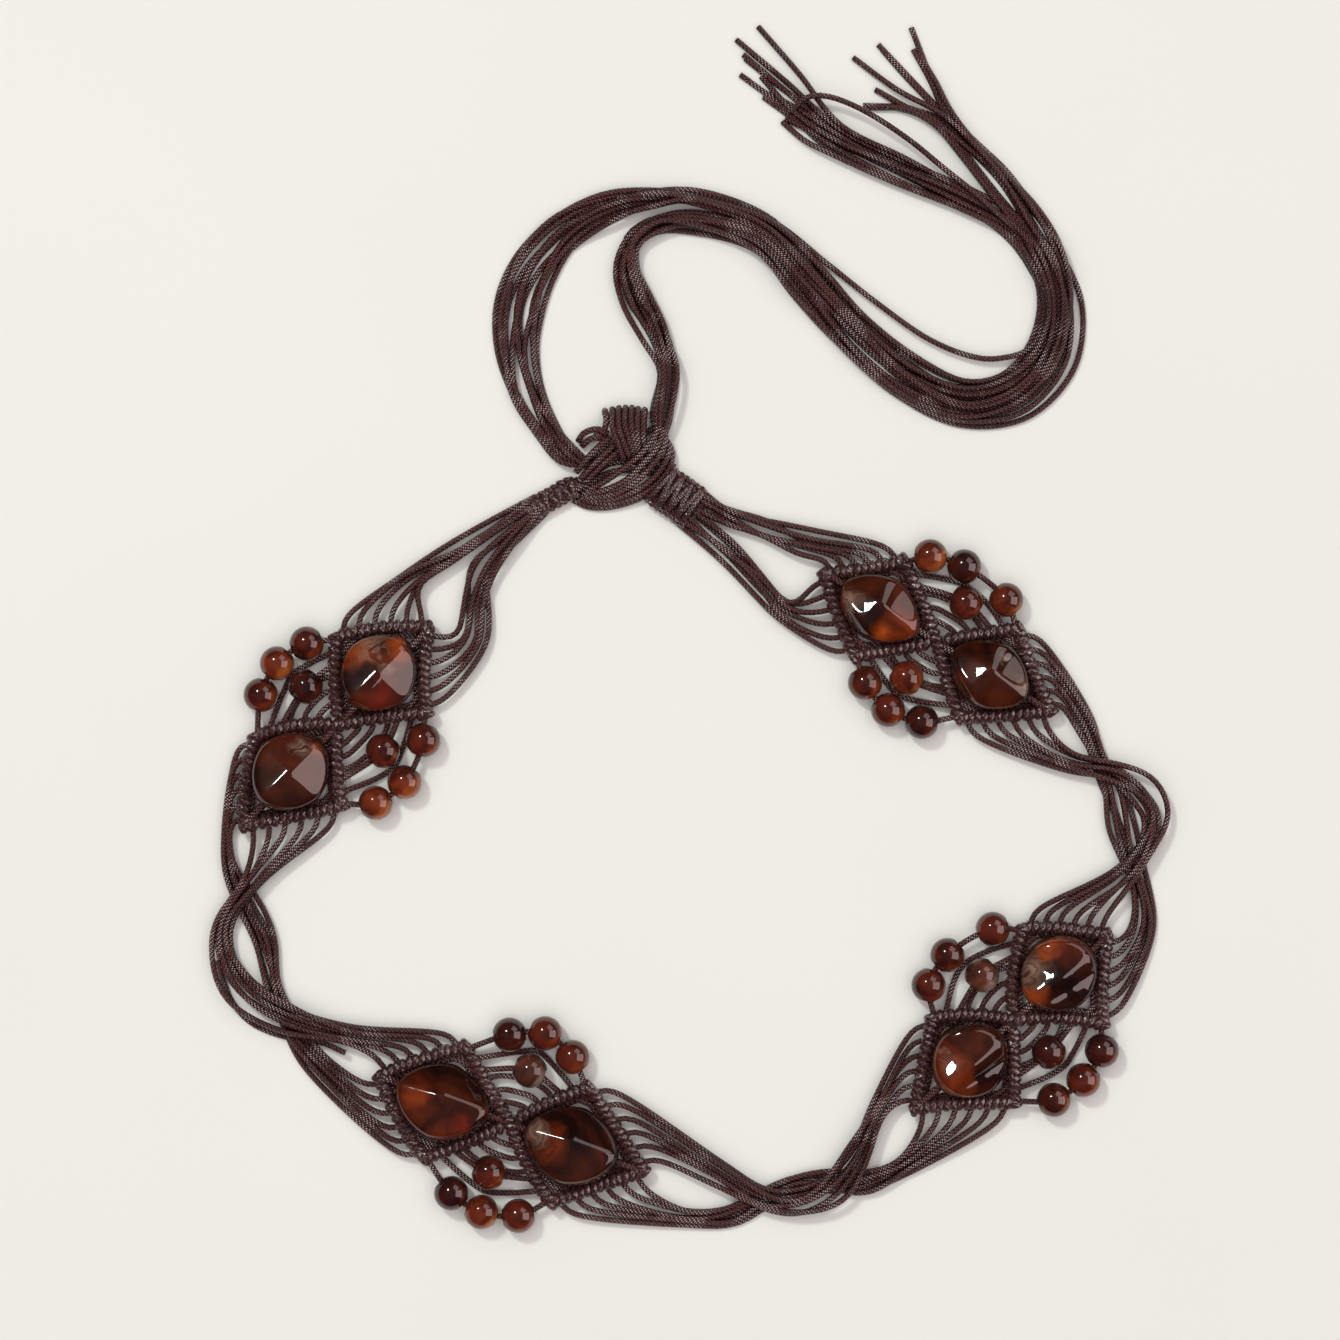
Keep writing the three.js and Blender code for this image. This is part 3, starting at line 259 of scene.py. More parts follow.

# Beads: their clouds from dark to body, and the colour of the painted glow where light comes out
BEAD_LOOKS = {
    "mahogany": ((0.032, 0.006, 0.004), (0.105, 0.015, 0.007), (0.30, 0.05, 0.012)),
    "amber": ((0.055, 0.009, 0.004), (0.17, 0.026, 0.008), (0.50, 0.13, 0.025)),
    "deep": ((0.018, 0.004, 0.004), (0.05, 0.009, 0.006), (0.14, 0.02, 0.007)),
    "milky": ((0.04, 0.014, 0.010), (0.13, 0.035, 0.018), (0.42, 0.28, 0.22)),
}
BEAD_CLOUD_SCALE = 110
# The side away from the lamp, where a painted glow shows light coming out of a bead, scaled to a
# bead in metres
BEAD_FAR_SIDE = (0.78 * 200, -0.58 * 200, -0.1 * 200)
BEAD_STIR = 1.3
BEAD_GLOW_FROM = 0.95
BEAD_GLOW = [(0.0, 0.0), (0.35, 0.5), (0.8, 1.0)]
# Painted shade: darker towards the floor, lighter at the top, by height in the bead
BEAD_PAINTED_SHADE = [(0.0, 0.2), (0.45, 0.8), (0.75, 1.1)]
BEAD_PATTERN = {
    "motif_1": "mahogany amber mahogany deep mahogany amber amber mahogany",
    "motif_2": "deep mahogany mahogany milky deep amber mahogany mahogany",
    "motif_3": "mahogany mahogany mahogany milky mahogany mahogany deep deep",
    "motif_4": "deep mahogany mahogany amber amber deep amber mahogany",
}

# Free strands: places as shares of half the loop, lift and half width in cords
RUNS = [
    {"name": "run_12", "from": 1, "to": 2,
     "inner": [(-0.9, -0.06, 1.1, 1.9), (-0.965, -0.19, 0.7, 2.0), (-0.93, -0.33, 0.9, 2.2),
               (-0.83, -0.415, 1.1, 2.3), (-0.7, -0.46, 1.1, 2.0)],
     "outer": [(-0.95, -0.02, 0.2, 1.5), (-0.915, -0.12, 0.0, 1.8), (-0.875, -0.22, 0.0, 2.1),
               (-0.855, -0.33, 0.0, 2.1), (-0.82, -0.44, 0.0, 1.9), (-0.775, -0.53, 0.1, 1.9)]},
    {"name": "run_23", "from": 2, "to": 3,
     "inner": [(0.07, -0.82, 1.1, 2.0), (0.16, -0.89, 1.1, 2.0), (0.235, -0.905, 1.0, 1.9),
               (0.305, -0.86, 1.1, 2.0), (0.355, -0.77, 1.1, 1.9), (0.4, -0.66, 1.1, 1.7)],
     "outer": [(0.01, -0.94, 0.2, 1.6), (0.1, -0.93, 0.0, 1.6), (0.17, -0.88, 0.0, 1.6),
               (0.245, -0.85, 0.0, 1.6), (0.31, -0.85, 0.0, 1.6), (0.375, -0.85, 0.0, 1.9),
               (0.45, -0.81, 0.2, 2.0)]},
    {"name": "run_34", "from": 3, "to": 4,
     "inner": [(0.91, -0.05, 1.1, 2.0), (0.955, 0.03, 1.1, 2.0), (0.975, 0.11, 0.8, 1.7),
               (0.95, 0.18, 1.1, 2.0), (0.89, 0.23, 1.1, 1.9), (0.8, 0.245, 1.1, 1.8)],
     "outer": [(0.95, -0.19, 0.2, 1.9), (0.95, -0.09, 0.0, 1.8), (0.93, 0.0, 0.0, 1.7),
               (0.905, 0.09, 0.0, 1.7), (0.885, 0.18, 0.0, 1.7), (0.855, 0.27, 0.0, 1.8),
               (0.835, 0.34, 0.2, 1.7)]},
    {"name": "run_start", "from": None, "to": 1,
     "inner": [(-0.385, 0.81, 0.6, 1.5), (-0.42, 0.75, 0.5, 2.1), (-0.432, 0.655, 0.6, 2.5),
               (-0.445, 0.565, 0.8, 2.5)],
     "outer": [(-0.43, 0.825, 0.5, 1.5), (-0.5, 0.78, 0.5, 1.7), (-0.57, 0.72, 0.8, 2.0)]},
    {"name": "run_end", "from": 4, "to": None,
     "inner": [(0.21, 0.64, 0.8, 2.0), (0.15, 0.72, 0.5, 2.0), (0.09, 0.8, 0.4, 1.8)],
     "outer": [(0.25, 0.82, 0.8, 2.2), (0.16, 0.86, 0.5, 2.0), (0.1, 0.885, 0.4, 1.8)]},
]
WRAP_FACE = {"x": 0.02, "y": 0.908, "travel": 146.0}
SINNET_FACE = {"x": -0.335, "y": 0.897, "travel": 28.0}
KNOT_CENTRE = (-0.105, 1.045)
# A strand of run_12 that dips below its group, in the photograph's pixels
DIP_PX = [(219, 960), (223, 978), (232, 1001), (248, 1020), (268, 1031), (292, 1038), (322, 1042),
          (346, 1052)]
DIP_HEIGHTS = [4.0, 2.2, *[BARE_RADIUS] * 4, 2.2, 4.0]
# How strands wander off their places: how far, and turns in radians a station
RUN_WANDER = ((0.8, 1.9), (1.5, 1.1))
TAIL_WANDER = ((1.1, 0.75), (0.7, 1.7))
# How closely a run's two layers nest, and how steeply its groups climb over each other
NEST = 0.92
CLIMB = 1.45

# The loose ends: shares of the tail's span and rise, half width in cords
TAIL_LEFT = [(-0.15, 0, 2.0), (-0.205, 0.065, 2.8), (-0.245, 0.15, 3.6), (-0.263, 0.25, 3.9),
             (-0.26, 0.35, 3.8), (-0.23, 0.44, 3.5), (-0.16, 0.52, 2.9), (-0.06, 0.575, 2.3),
             (0.04, 0.6, 1.8), (0.12, 0.603, 1.6), (0.19, 0.598, 1.6)]
TAIL_RIGHT = [(0.062, 0.09, 1.5), (0.075, 0.2, 1.7), (0.055, 0.28, 2.0), (0.01, 0.37, 1.9),
              (-0.015, 0.44, 1.7), (-0.005, 0.5, 1.5), (0.045, 0.54, 1.4), (0.115, 0.547, 1.4),
              (0.19, 0.528, 1.4)]
TAIL_MAIN = [(0.285, 0.52, 3.3), (0.39, 0.405, 3.5), (0.485, 0.295, 3.7), (0.61, 0.185, 3.8),
             (0.74, 0.125, 3.6), (0.85, 0.15, 3.6), (0.925, 0.235, 3.3), (0.95, 0.35, 3.0),
             (0.92, 0.465, 3.3)]
TASSEL_LEFT = [(0.85, 0.53, 2.2), (0.75, 0.59, 2.5), (0.6, 0.665, 2.6), (0.45, 0.745, 2.6)]
TASSEL_RIGHT = [(0.895, 0.545, 2.2), (0.825, 0.64, 2.4), (0.755, 0.715, 2.5), (0.69, 0.785, 2.5)]
# The tips, in the photograph's pixels, from each tassel's left side to its right
TIPS_LEFT_PX = [(782, 122), (785, 119), (763, 97), (767, 99), (769, 93), (740, 75), (761, 77),
                (743, 55), (745, 59), (736, 40), (758, 27), (786, 113)]
TIPS_RIGHT_PX = [(863, 106), (868, 108), (889, 107), (893, 103), (875, 90), (879, 92), (853, 58),
                 (878, 45), (882, 50), (913, 50), (917, 52), (911, 28)]
CURL_PX = [(985, 205), (940, 168), (911, 144), (874, 119), (849, 106), (829, 99), (812, 98),
           (799, 104)]
CURL_HEIGHT = 6.4
# Which layer each strand lies in, and how far strands stray from their bundle at a station
LAYER_ORDER = [0, 2, 1, 3, 0, 2, 3, 1, 0, 3, 1, 2]
LAYERS = 4
LAYER_HEIGHT = 1.7
DOME = 0.45
STRAYS = {
    ("left", 11): {11: 2.0, 12: 5.0, 13: 6.5, 14: 6.5, 15: 4.0},
    ("left", 10): {11: 2.2, 12: 1.0},
    ("left", 3): {4: -2.0, 5: -3.4, 6: -2.4},
    ("right", 0): {12: -1.5, 13: -3.0, 14: -2.6, 15: -1.4},
    ("right", 11): {2: 1.6, 3: 2.4, 4: 2.8, 5: 1.6},
    ("right", 10): {3: 1.4, 4: 1.6},
}
# Where each bundle comes out of the knot, from its centre, and the solids it stands for
TAIL_STARTS = {"left": (-11, -4, 3.2), "right": (7.4, 4, 3.2)}
TAIL_NODES = {"left": ["tail_left", "tail_main"], "right": ["tail_right"]}

# The tie knot's strands: x and y in millimetres from its centre, then height
KNOT_STRANDS = [
    [(-9, 12.6, 1.2), (-9, 13.8, 3), (-8.6, 10, 5), (-9.6, 7, 4.2), (-12, 6.2, 2.6)],
    [(-6.7, 12.8, 1.2), (-6.7, 14.2, 3.4), (-6.6, 8.4, 6.4), (-4.8, 3.2, 6.2), (-3.2, -1.4, 4.4)],
    [(-4.8, 13, 1.2), (-4.8, 14.5, 3.4), (-4.8, 8.8, 6.8), (-3, 3.2, 6.4), (-1.4, -0.6, 4.4)],
    [(-2.8, 13.2, 1.2), (-2.8, 14.7, 3.4), (-3, 9.4, 7), (-1.5, 4.4, 6.4), (-0.2, 0.2, 4.4)],
    [(-0.9, 13.2, 1.2), (-0.9, 14.6, 3.4), (-1.1, 9, 7), (-0.1, 4.2, 6.2), (0.8, 0.8, 4.4)],
    [(0.9, 13, 1.2), (0.9, 14.4, 3.4), (0.7, 8.6, 6.8), (1, 4.2, 6), (1.6, 1.2, 4.2)],
    [(2.9, 12.8, 1.2), (2.9, 14.1, 3.4), (2.6, 9, 6.2), (2.6, 5, 5.6), (3, 2.4, 4.2)],
    [(-14.5, -10.6, 3), (-8.5, -7.3, 4.6), (-3.9, -4.1, 5.8), (0.2, -0.9, 6.6), (3.9, 2.8, 6.6),
     (6.2, 6.4, 5.6), (7.1, 9.4, 4.4)],
    [(-15.8, -11.5, 3), (-8.5, -10.1, 4.6), (-2.1, -6.9, 6), (2.5, -2.3, 6.8), (6.2, 1.8, 6.6),
     (8, 6, 5.4), (8.7, 9, 4)],
    [(-15.8, -12.4, 2.4), (-6.7, -11.6, 4.4), (0.2, -7.8, 5.8), (5.3, -2.8, 6.4), (8.5, 2.3, 5.6),
     (9.2, 6, 4.4)],
    [(-14.9, -13.1, 1.8), (-6.7, -12.8, 3.4), (0.7, -10.1, 4.8), (6.2, -6, 5.2), (9.4, -0.9, 4.6),
     (10.3, 2.8, 3.6), (9.4, 4.6, 2.8)],
    [(-16.8, -12.9, 1.4), (-12.2, -13.8, 1.8), (-5.7, -13.9, 2.4), (1.6, -11.6, 3.4),
     (7.1, -7.8, 3.8), (10.4, -3.2, 3.2), (11.1, 0.9, 2.4), (10.1, 3.7, 1.8)],
    [(-18.6, -13.1, 1.2), (-14.5, -15, 1.1), (-9.4, -15.4, 1.1), (-3, -14.2, 1.4), (2.5, -12, 1.8),
     (7.1, -9.2, 2.2), (9.9, -6.4, 2)],
    [(-17.7, -5, 4.4), (-14, -0.5, 5.6), (-9.4, 3.9, 6), (-7.4, 5.6, 5.2)],
    [(-16.5, -7, 4.2), (-12.2, -2.6, 5.4), (-8, 1.5, 5.8), (-6, 3.4, 4.8)],
    [(-14.9, -7.8, 3.6), (-9.6, -2.6, 4.6), (-6.4, 0.2, 4.6), (-5, 1.6, 4)],
    [(-17, 4.4, 2), (-15.6, 6.6, 3.4), (-11.5, 8, 4.6), (-8, 6.6, 4)],
    [(-16, 3, 1.6), (-12.8, 5.4, 3), (-9.2, 5.2, 4)],
    [(10.4, -8, 1.4), (2, -4.4, 1.2), (-8, -5, 1.2), (-17, -11, 1.4)],
    [(11.4, -5.6, 1.4), (2, -2, 1.2), (-8, -2.4, 1.2), (-17, -9.4, 1.4)],
    [(12, -3.4, 1.4), (3, 0.6, 1.2), (-6, 0.2, 1.2), (-16, -7.4, 1.4)],
    [(6, 9, 1.6), (2, 6, 1.6), (-6, 4, 1.6), (-14, -1, 1.6)],
    [(-6, 12, 1.2), (-5, 7, 1.4), (-7, 2, 1.4), (-12, -3, 1.4)],
    [(0, 12, 1.2), (0, 7, 1.4), (-3, 2, 1.4), (-9, -3, 1.4)],
]

# Stage: pale paper, lights as degrees round and off the vertical, metres, watts and colour
PAPER = [(0.3, (0.862, 0.842, 0.782)), (0.7, (0.878, 0.858, 0.798))]
FLOOR_HALF = 3.0
KEY = {"azimuth": 128, "tilt": 34, "distance": 4.0, "size": (0.5, 0.36), "energy": 50.0,
       "colour": (0.87, 1, 0.935)}
WINDOWS = {
    "window": {"azimuth": -6, "tilt": 54, "distance": 1.5, "size": (1.3, 1.15), "energy": 17.5,
               "colour": (1, 0.78, 0.75)},
    "far_window": {"azimuth": 48, "tilt": 52, "distance": 1.5, "size": (0.9, 0.9), "energy": 5.5,
                   "colour": (1, 0.88, 0.86)},
}
SKY_COLOUR = (1.0, 0.945, 0.965, 1)
SKY_STRENGTH = 0.83
SKY_IN_GLOSS = -0.80
OVERHEAD = [(0.0, 0.02), (0.55, 0.27), (1.0, 2.08)]


# ---- plane vectors and places ----

def unit(vector):
    return vector / np.linalg.norm(vector)


def at_height(xy, z):
    return np.array([xy[0], xy[1], z])


def heading(degrees):
    return np.array([math.cos(math.radians(degrees)), math.sin(math.radians(degrees))])


def left_of(direction):
    return np.array([-direction[1], direction[0]])


def loop_xy(x, y):
    return np.array([x * LOOP_WIDTH / 2, y * LOOP_DEPTH / 2])


def box_centre(node):
    low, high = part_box(node)
    return np.array(list((low + high) / 2)) * MM


def to_loop(motif, local):
    ahead = heading(motif["travel"])
    return loop_xy(motif["x"], motif["y"]) + local[0] * ahead + local[1] * left_of(ahead)


# The row's frame has its origin under the middle of the belt; a stone says by how much it is off.
FIRST_STONE = to_loop(MOTIFS[0], (CORNERS[0]["entry_tip"] * DIAMOND_LENGTH / 2, 0))
SHIFT = box_centre("motif_1_stone_1")[:2] - FIRST_STONE


def placed(xy):
    return np.asarray(xy, float) + SHIFT


def photo_xy(px, py):
    return placed(((px - LOOP_CENTRE_PX[0]) * PIXEL, (LOOP_CENTRE_PX[1] - py) * PIXEL))


def motif_spot(motif, local, z):
    return at_height(placed(to_loop(motif, local)), z)


def knot_place(x, y, z):
    return at_height(placed(loop_xy(*KNOT_CENTRE)) + np.array([x, y]), z)


def tail_xy(x, y):
    return placed(loop_xy(*KNOT_CENTRE)) + np.array([x * TAIL_SPAN, y * TAIL_RISE])


# ---- lines and tubes ----

def line_length(points):
    return float(np.linalg.norm(np.diff(points, axis=0), axis=1).sum())


def lengths_along(line):
    return np.concatenate([[0], np.cumsum(np.linalg.norm(np.diff(line, axis=0), axis=1))])


def points_at(line, along, places):
    return np.stack([np.interp(places, along, line[:, k]) for k in range(3)], axis=-1)


def smooth(points, step=STRAND_STEP):
    """Equal steps along one smooth line through the points."""
    p = np.asarray(points, float)
    gap = np.sqrt(np.linalg.norm(np.diff(p, axis=0), axis=1)) + 1e-9
    slope = np.empty_like(p)
    slope[0] = (p[1] - p[0]) / gap[0]
    slope[-1] = (p[-1] - p[-2]) / gap[-1]
    before, after = gap[:-1, None], gap[1:, None]
    slope[1:-1] = (
        (p[1:-1] - p[:-2]) / before
        - (p[2:] - p[:-2]) / (before + after)
        + (p[2:] - p[1:-1]) / after
    )
    t = np.linspace(0, 1, 17)[:-1, None]
    h00, h10 = 2 * t**3 - 3 * t**2 + 1, t**3 - 2 * t**2 + t
    h01, h11 = -2 * t**3 + 3 * t**2, t**3 - t**2
    parts = [h00 * p[i] + h10 * width * slope[i] + h01 * p[i + 1] + h11 * width * slope[i + 1]
             for i, width in enumerate(gap)]
    line = np.vstack([*parts, p[-1:]])
    along = lengths_along(line)
    count = max(3, int(round(along[-1] / step)) + 1)
    return points_at(line, along, np.linspace(0, along[-1], count))


def relaxed(line, rounds):
    """Lets a line's sharp turns spread out; its ends stay."""
    line = line.copy()
    for _ in range(rounds):
        line[1:-1] += 0.5 * ((line[:-2] + line[2:]) / 2 - line[1:-1])
    return line


def travel_along(points):
    ahead = np.gradient(points, axis=0)
    return ahead / np.linalg.norm(ahead, axis=1)[:, None]


def carried_frames(points):
    """Directions across a line that turn as little as they can."""
    ahead = travel_along(points)
    first = UP if abs(ahead[0] @ UP) <= 0.9 else np.array([1.0, 0, 0])
    side = unit(np.cross(first, ahead[0]))
    sides = [side]
    for t in ahead[1:]:
        side = unit(side - t * (side @ t))
        sides.append(side)
    sides = np.array(sides)
    return sides, np.cross(ahead, sides)


def upright_frames(points):
    """Directions across a line whose second one looks up wherever the line doesn't climb."""
    ahead = travel_along(points)
    sides = []
    for t in ahead:
        side = np.array([-t[1], t[0], 0.0])
        if sides and (np.linalg.norm(side) < STEEP or side @ sides[-1] < 0):
            side = sides[-1] - t * (sides[-1] @ t)
        sides.append(unit(side))
    sides = np.array(sides)
    ups = np.cross(ahead, sides)
    turned = math.copysign(1, ups[:, 2].sum())
    return sides * turned, ups * turned


def new_mesh(name, points, faces, material):
    mesh = bpy.data.meshes.new(name)
    mesh.from_pydata((points / MM).tolist(), [], faces)
    mesh.polygons.foreach_set("use_smooth", [True] * len(mesh.polygons))
    mesh.materials.append(material)
    return mesh


def add_piece(name, mesh, nodes, centre=(0, 0, 0)):
    piece = bpy.data.objects.new(name, mesh)
    piece.location = np.asarray(centre) / MM
    bpy.context.scene.collection.objects.link(piece)
    bpy.context.view_layer.update()
    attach(piece, "root")
    if nodes:
        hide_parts(*nodes)
    return piece


class Strands:
    """Tubes gathered into one mesh. Their Braid map runs round the cord in turns and along it in
    millimetres."""

    def __init__(self):
        self.points, self.faces, self.maps, self.knotted, self.count = [], [], [], [], 0

    def tube(self, line, radius=BARE_RADIUS, sides=TUBE_SIDES, knotted=False):
        line = np.array(line, float)
        line[:, 2] = np.maximum(line[:, 2], radius)
        across, up = carried_frames(line) if knotted else upright_frames(line)
        angle = np.arange(sides) / sides * 2 * math.pi
        ring = (
            across[:, None, :] * np.cos(angle)[None, :, None]
            + up[:, None, :] * np.sin(angle)[None, :, None]
        )
        body = line[:, None, :] + ring * radius
        along = lengths_along(line) + rng.uniform(0, BRAID_PHASE)
        base = self.count
        rings = len(line)
        for i in range(rings - 1):
            here, beyond = base + i * sides, base + (i + 1) * sides
            for j in range(sides):
                k = (j + 1) % sides
                self.faces.append((here + j, here + k, beyond + k, beyond + j))
                u0, u1 = j / sides, (j + 1) / sides
                self.maps += [(u0, along[i]), (u1, along[i]),
                              (u1, along[i + 1]), (u0, along[i + 1])]
        for ring_index, order in ((0, -1), (rings - 1, 1)):
            corners = [base + ring_index * sides + j for j in range(sides)][::order]
            self.faces.append(tuple(corners))
            self.maps += [(0.5, along[ring_index])] * sides
        self.points.append(body.reshape(-1, 3))
        self.count += rings * sides
        self.knotted += [int(knotted)] * (len(self.faces) - len(self.knotted))

    def build(self, name, nodes=()):
        mesh = new_mesh(name, np.vstack(self.points), self.faces, CORD_MATERIAL)
        mesh.materials.append(KNOT_MATERIAL)
        mesh.polygons.foreach_set("material_index", self.knotted)
        layer = mesh.uv_layers.new(name="Braid")
        layer.data.foreach_set("uv", np.array(self.maps, np.float32).ravel())
        mesh.update()
        return add_piece(name, mesh, nodes)


# ---- materials ----

def new_material(name):
    material = bpy.data.materials.new(name)
    material.use_nodes = True
    tree = material.node_tree
    tree.nodes.clear()
    output = tree.nodes.new("ShaderNodeOutputMaterial")
    shader = tree.nodes.new("ShaderNodeBsdfPrincipled")
    tree.links.new(shader.outputs["BSDF"], output.inputs["Surface"])
    return material, tree, shader


def feed(node, values):
    """Sets or links a node's inputs, which are named or numbered."""
    for key, value in values.items():
        if isinstance(value, (int, float, tuple)):
            node.inputs[key].default_value = value
        else:
            node.id_data.links.new(value, node.inputs[key])
    return node


def math_node(tree, operation, *values, clamp=False):
    node = tree.nodes.new("ShaderNodeMath")
    node.operation = operation
    node.use_clamp = clamp
    return feed(node, dict(enumerate(values))).outputs[0]


def vector_node(tree, operation, *values):
    node = tree.nodes.new("ShaderNodeVectorMath")
    node.operation = operation
    feed(node, dict(enumerate(values)))
    return node.outputs["Value" if operation in ("DISTANCE", "DOT_PRODUCT") else "Vector"]


def split_node(tree, vector):
    return feed(tree.nodes.new("ShaderNodeSeparateXYZ"), {"Vector": vector}).outputs


def ramp_node(tree, factor, stops):
    node = tree.nodes.new("ShaderNodeValToRGB")
    ramp = node.color_ramp
    while len(ramp.elements) < len(stops):
        ramp.elements.new(0.5)
    for element, (position, colour) in zip(ramp.elements, stops):
        element.position = position
        element.color = (*(colour if isinstance(colour, tuple) else (colour,) * 3), 1)
    return feed(node, {"Fac": factor}).outputs["Color"]


def mix_colour(tree, factor, first, second, blend="MIX"):
    node = tree.nodes.new("ShaderNodeMix")
    node.data_type = "RGBA"
    node.blend_type = blend
    if isinstance(second, tuple):
        second = (*second, 1)
    return feed(node, {0: factor, 6: first, 7: second}).outputs[2]


def noise_node(tree, vector, scale, detail, distortion=0.0):
    return feed(tree.nodes.new("ShaderNodeTexNoise"), {
        "Vector": vector, "Scale": scale, "Detail": detail, "Distortion": distortion,
        "Roughness": 0.5}).outputs


def bump_node(tree, height, strength, distance):
    return feed(tree.nodes.new("ShaderNodeBump"), {
        "Height": height, "Strength": strength, "Distance": distance}).outputs["Normal"]


def object_place(tree):
    return tree.nodes.new("ShaderNodeTexCoord").outputs["Object"]


def waxed_cord(name):
    """A round braid: slanted dashes side by side, with painted shade between them. A bare strand's
    dashes carry painted glints in rows along its top and painted shade on its flanks; pulled into
    a knot the braid closes up, its bars shine and carry painted specks of glint."""
    look = CORD_LOOKS[name]
    material, tree, shader = new_material(name)
    braid = tree.nodes.new("ShaderNodeUVMap")
    braid.uv_map = "Braid"
    round_cord, along_cord, _ = split_node(tree, braid.outputs["UV"])
    turns = math_node(tree, "MULTIPLY", round_cord, 2 * math.pi * PLAITS)
    run = math_node(tree, "MULTIPLY", along_cord, 2 * math.pi / PLAIT_LENGTH)
    slanted = math_node(tree, "ADD", turns, math_node(tree, "MULTIPLY", run, PLAIT_SLANT))
    product = math_node(tree, "MULTIPLY", math_node(tree, "SINE", slanted),
                        math_node(tree, "SINE", run))
    lattice = math_node(tree, "MULTIPLY_ADD", product, 0.5, 0.5)
    place = object_place(tree)
    drift = noise_node(tree, place, 60, 3)["Fac"]
    fuzz = noise_node(tree, place, 1400, 2)["Fac"]
    patches = noise_node(tree, place, 120, 1)["Fac"]
    # Painted shade in the valleys between plaits, and on bare cord painted light on the plait tops
    painted_braid_shade_and_light = ramp_node(tree, lattice, look["painted_braid_shade_and_light"])
    colour = mix_colour(tree, 1.0, ramp_node(tree, drift, WAX), painted_braid_shade_and_light, "MULTIPLY")
    if name == "waxed_knots":
        dash = ramp_node(tree, fuzz, look["dashes"])
    else:
        # Painted shade: darker on a strand's flanks and underside than on its top
        turn = math_node(tree, "MULTIPLY_ADD", round_cord, 2 * math.pi, -2 * math.pi * GLINT_TURN)
        facing = math_node(tree, "COSINE", turn)
        colour = mix_colour(tree, 1.0, colour, ramp_node(tree, facing, PAINTED_FLANK_SHADE), "MULTIPLY")
        dash = math_node(tree, "MULTIPLY", ramp_node(tree, lattice, look["dashes"]),
                         ramp_node(tree, facing, GLINT_SPREAD))
    # Painted glints: a light colour mixed into the base colour on the chosen dashes, in patches
    glint = math_node(tree, "MULTIPLY", dash, ramp_node(tree, patches, GLINT_PATCHES))
    colour = mix_colour(tree, glint, colour, GLINT_COLOUR)
    height = math_node(tree, "MULTIPLY_ADD", fuzz, FUZZ_DEPTH, lattice)
    normal = bump_node(tree, height, *look["bump"])
    feed(shader, {"Base Color": colour, "Roughness": ramp_node(tree, fuzz, WAX_ROUGHNESS),
                  "Normal": normal, "Coat Normal": normal, **look["gloss"]})
    return material


def swirled_resin(values, centre):
    """Polished resin. Dark clouds, with this stone's own tints where light comes through, their
    edges drawn out into swirls, and thin pale threads in the pale ones."""
    material, tree, shader = new_material(values["name"].replace("stone", "resin"))
    place = object_place(tree)
    clouds = noise_node(tree, place, CLOUD_SCALE, 3, 1.2)["Fac"]
    colour = ramp_node(tree, clouds, CLOUDS)
    drift = noise_node(tree, place, DRIFT_SCALE, 2, 0.6)["Color"]
    away = vector_node(tree, "SUBTRACT", drift, (0.5, 0.5, 0.5))
    warped = vector_node(tree, "MULTIPLY_ADD", away, (WARP, WARP, WARP), place)
    threads = noise_node(tree, warped, THREAD_SCALE, 2, 2.6)["Fac"]
    veils = {"beige": ramp_node(tree, threads, THREADS)}
    clearness = ramp_node(tree, threads, CLEARNESS)
    for tint, x, y, wide in values["tints"]:
        spot = tuple(np.array([centre[0] + x, centre[1] + y, centre[2] + STONE_FACE]) / MM)
        gap = vector_node(tree, "DISTANCE", warped, spot)
        share = math_node(tree, "DIVIDE", gap, TINT_SPREAD * wide / MM)
        mask = ramp_node(tree, share, TINT_EDGE)
        if tint != "black":
            mask = math_node(tree, "MULTIPLY", mask, veils.get(tint, clearness))
        colour = mix_colour(tree, mask, colour, TINTS[tint])
    ripple = noise_node(tree, place, RIPPLE_SCALE, 2)["Fac"]
    feed(shader, {"Base Color": colour, "Coat Normal": bump_node(tree, ripple, *RIPPLE),
                  "Coat Roughness": 0.025, **RESIN_GLOSS})
    return material


def bead_resin(look):
    """Polished resin with a painted glow on the side away from the lamp, as if lit through, and
    painted shade darker towards the floor.
    """
    dark, body, amber = BEAD_LOOKS[look]
    material, tree, shader = new_material(f"bead_{look}")
    own = object_place(tree)
    middle = tree.nodes.new("ShaderNodeObjectInfo").outputs["Location"]
    place = vector_node(tree, "ADD", own, middle)
    clouds = noise_node(tree, place, BEAD_CLOUD_SCALE, 3, 1.4)["Fac"]
    body = ramp_node(tree, clouds, [(0.36, dark), (0.64, body)])
    # Painted glow: amber on the side away from the lamp, stirred by the clouds
    far = vector_node(tree, "DOT_PRODUCT", own, BEAD_FAR_SIDE)
    stirred = math_node(tree, "MULTIPLY_ADD", clouds, BEAD_STIR, far)
    glow = math_node(tree, "SUBTRACT", stirred, BEAD_GLOW_FROM, clamp=True)
    colour = mix_colour(tree, ramp_node(tree, glow, BEAD_GLOW), body, amber)
    # Painted shade by height: darker towards the floor
    level = math_node(tree, "DIVIDE", split_node(tree, own)["Z"], BEAD_DIAMETER / 2 / MM)
    colour = mix_colour(tree, 1.0, colour, ramp_node(tree, level, BEAD_PAINTED_SHADE), "MULTIPLY")
    feed(shader, {"Base Color": colour, "Coat Roughness": 0.02, **RESIN_GLOSS})
    return material


CORD_MATERIAL = waxed_cord("waxed_cord")
KNOT_MATERIAL = waxed_cord("waxed_knots")
BEAD_MATERIALS = {look: bead_resin(look) for look in BEAD_LOOKS}


# ---- rows of hitches ----

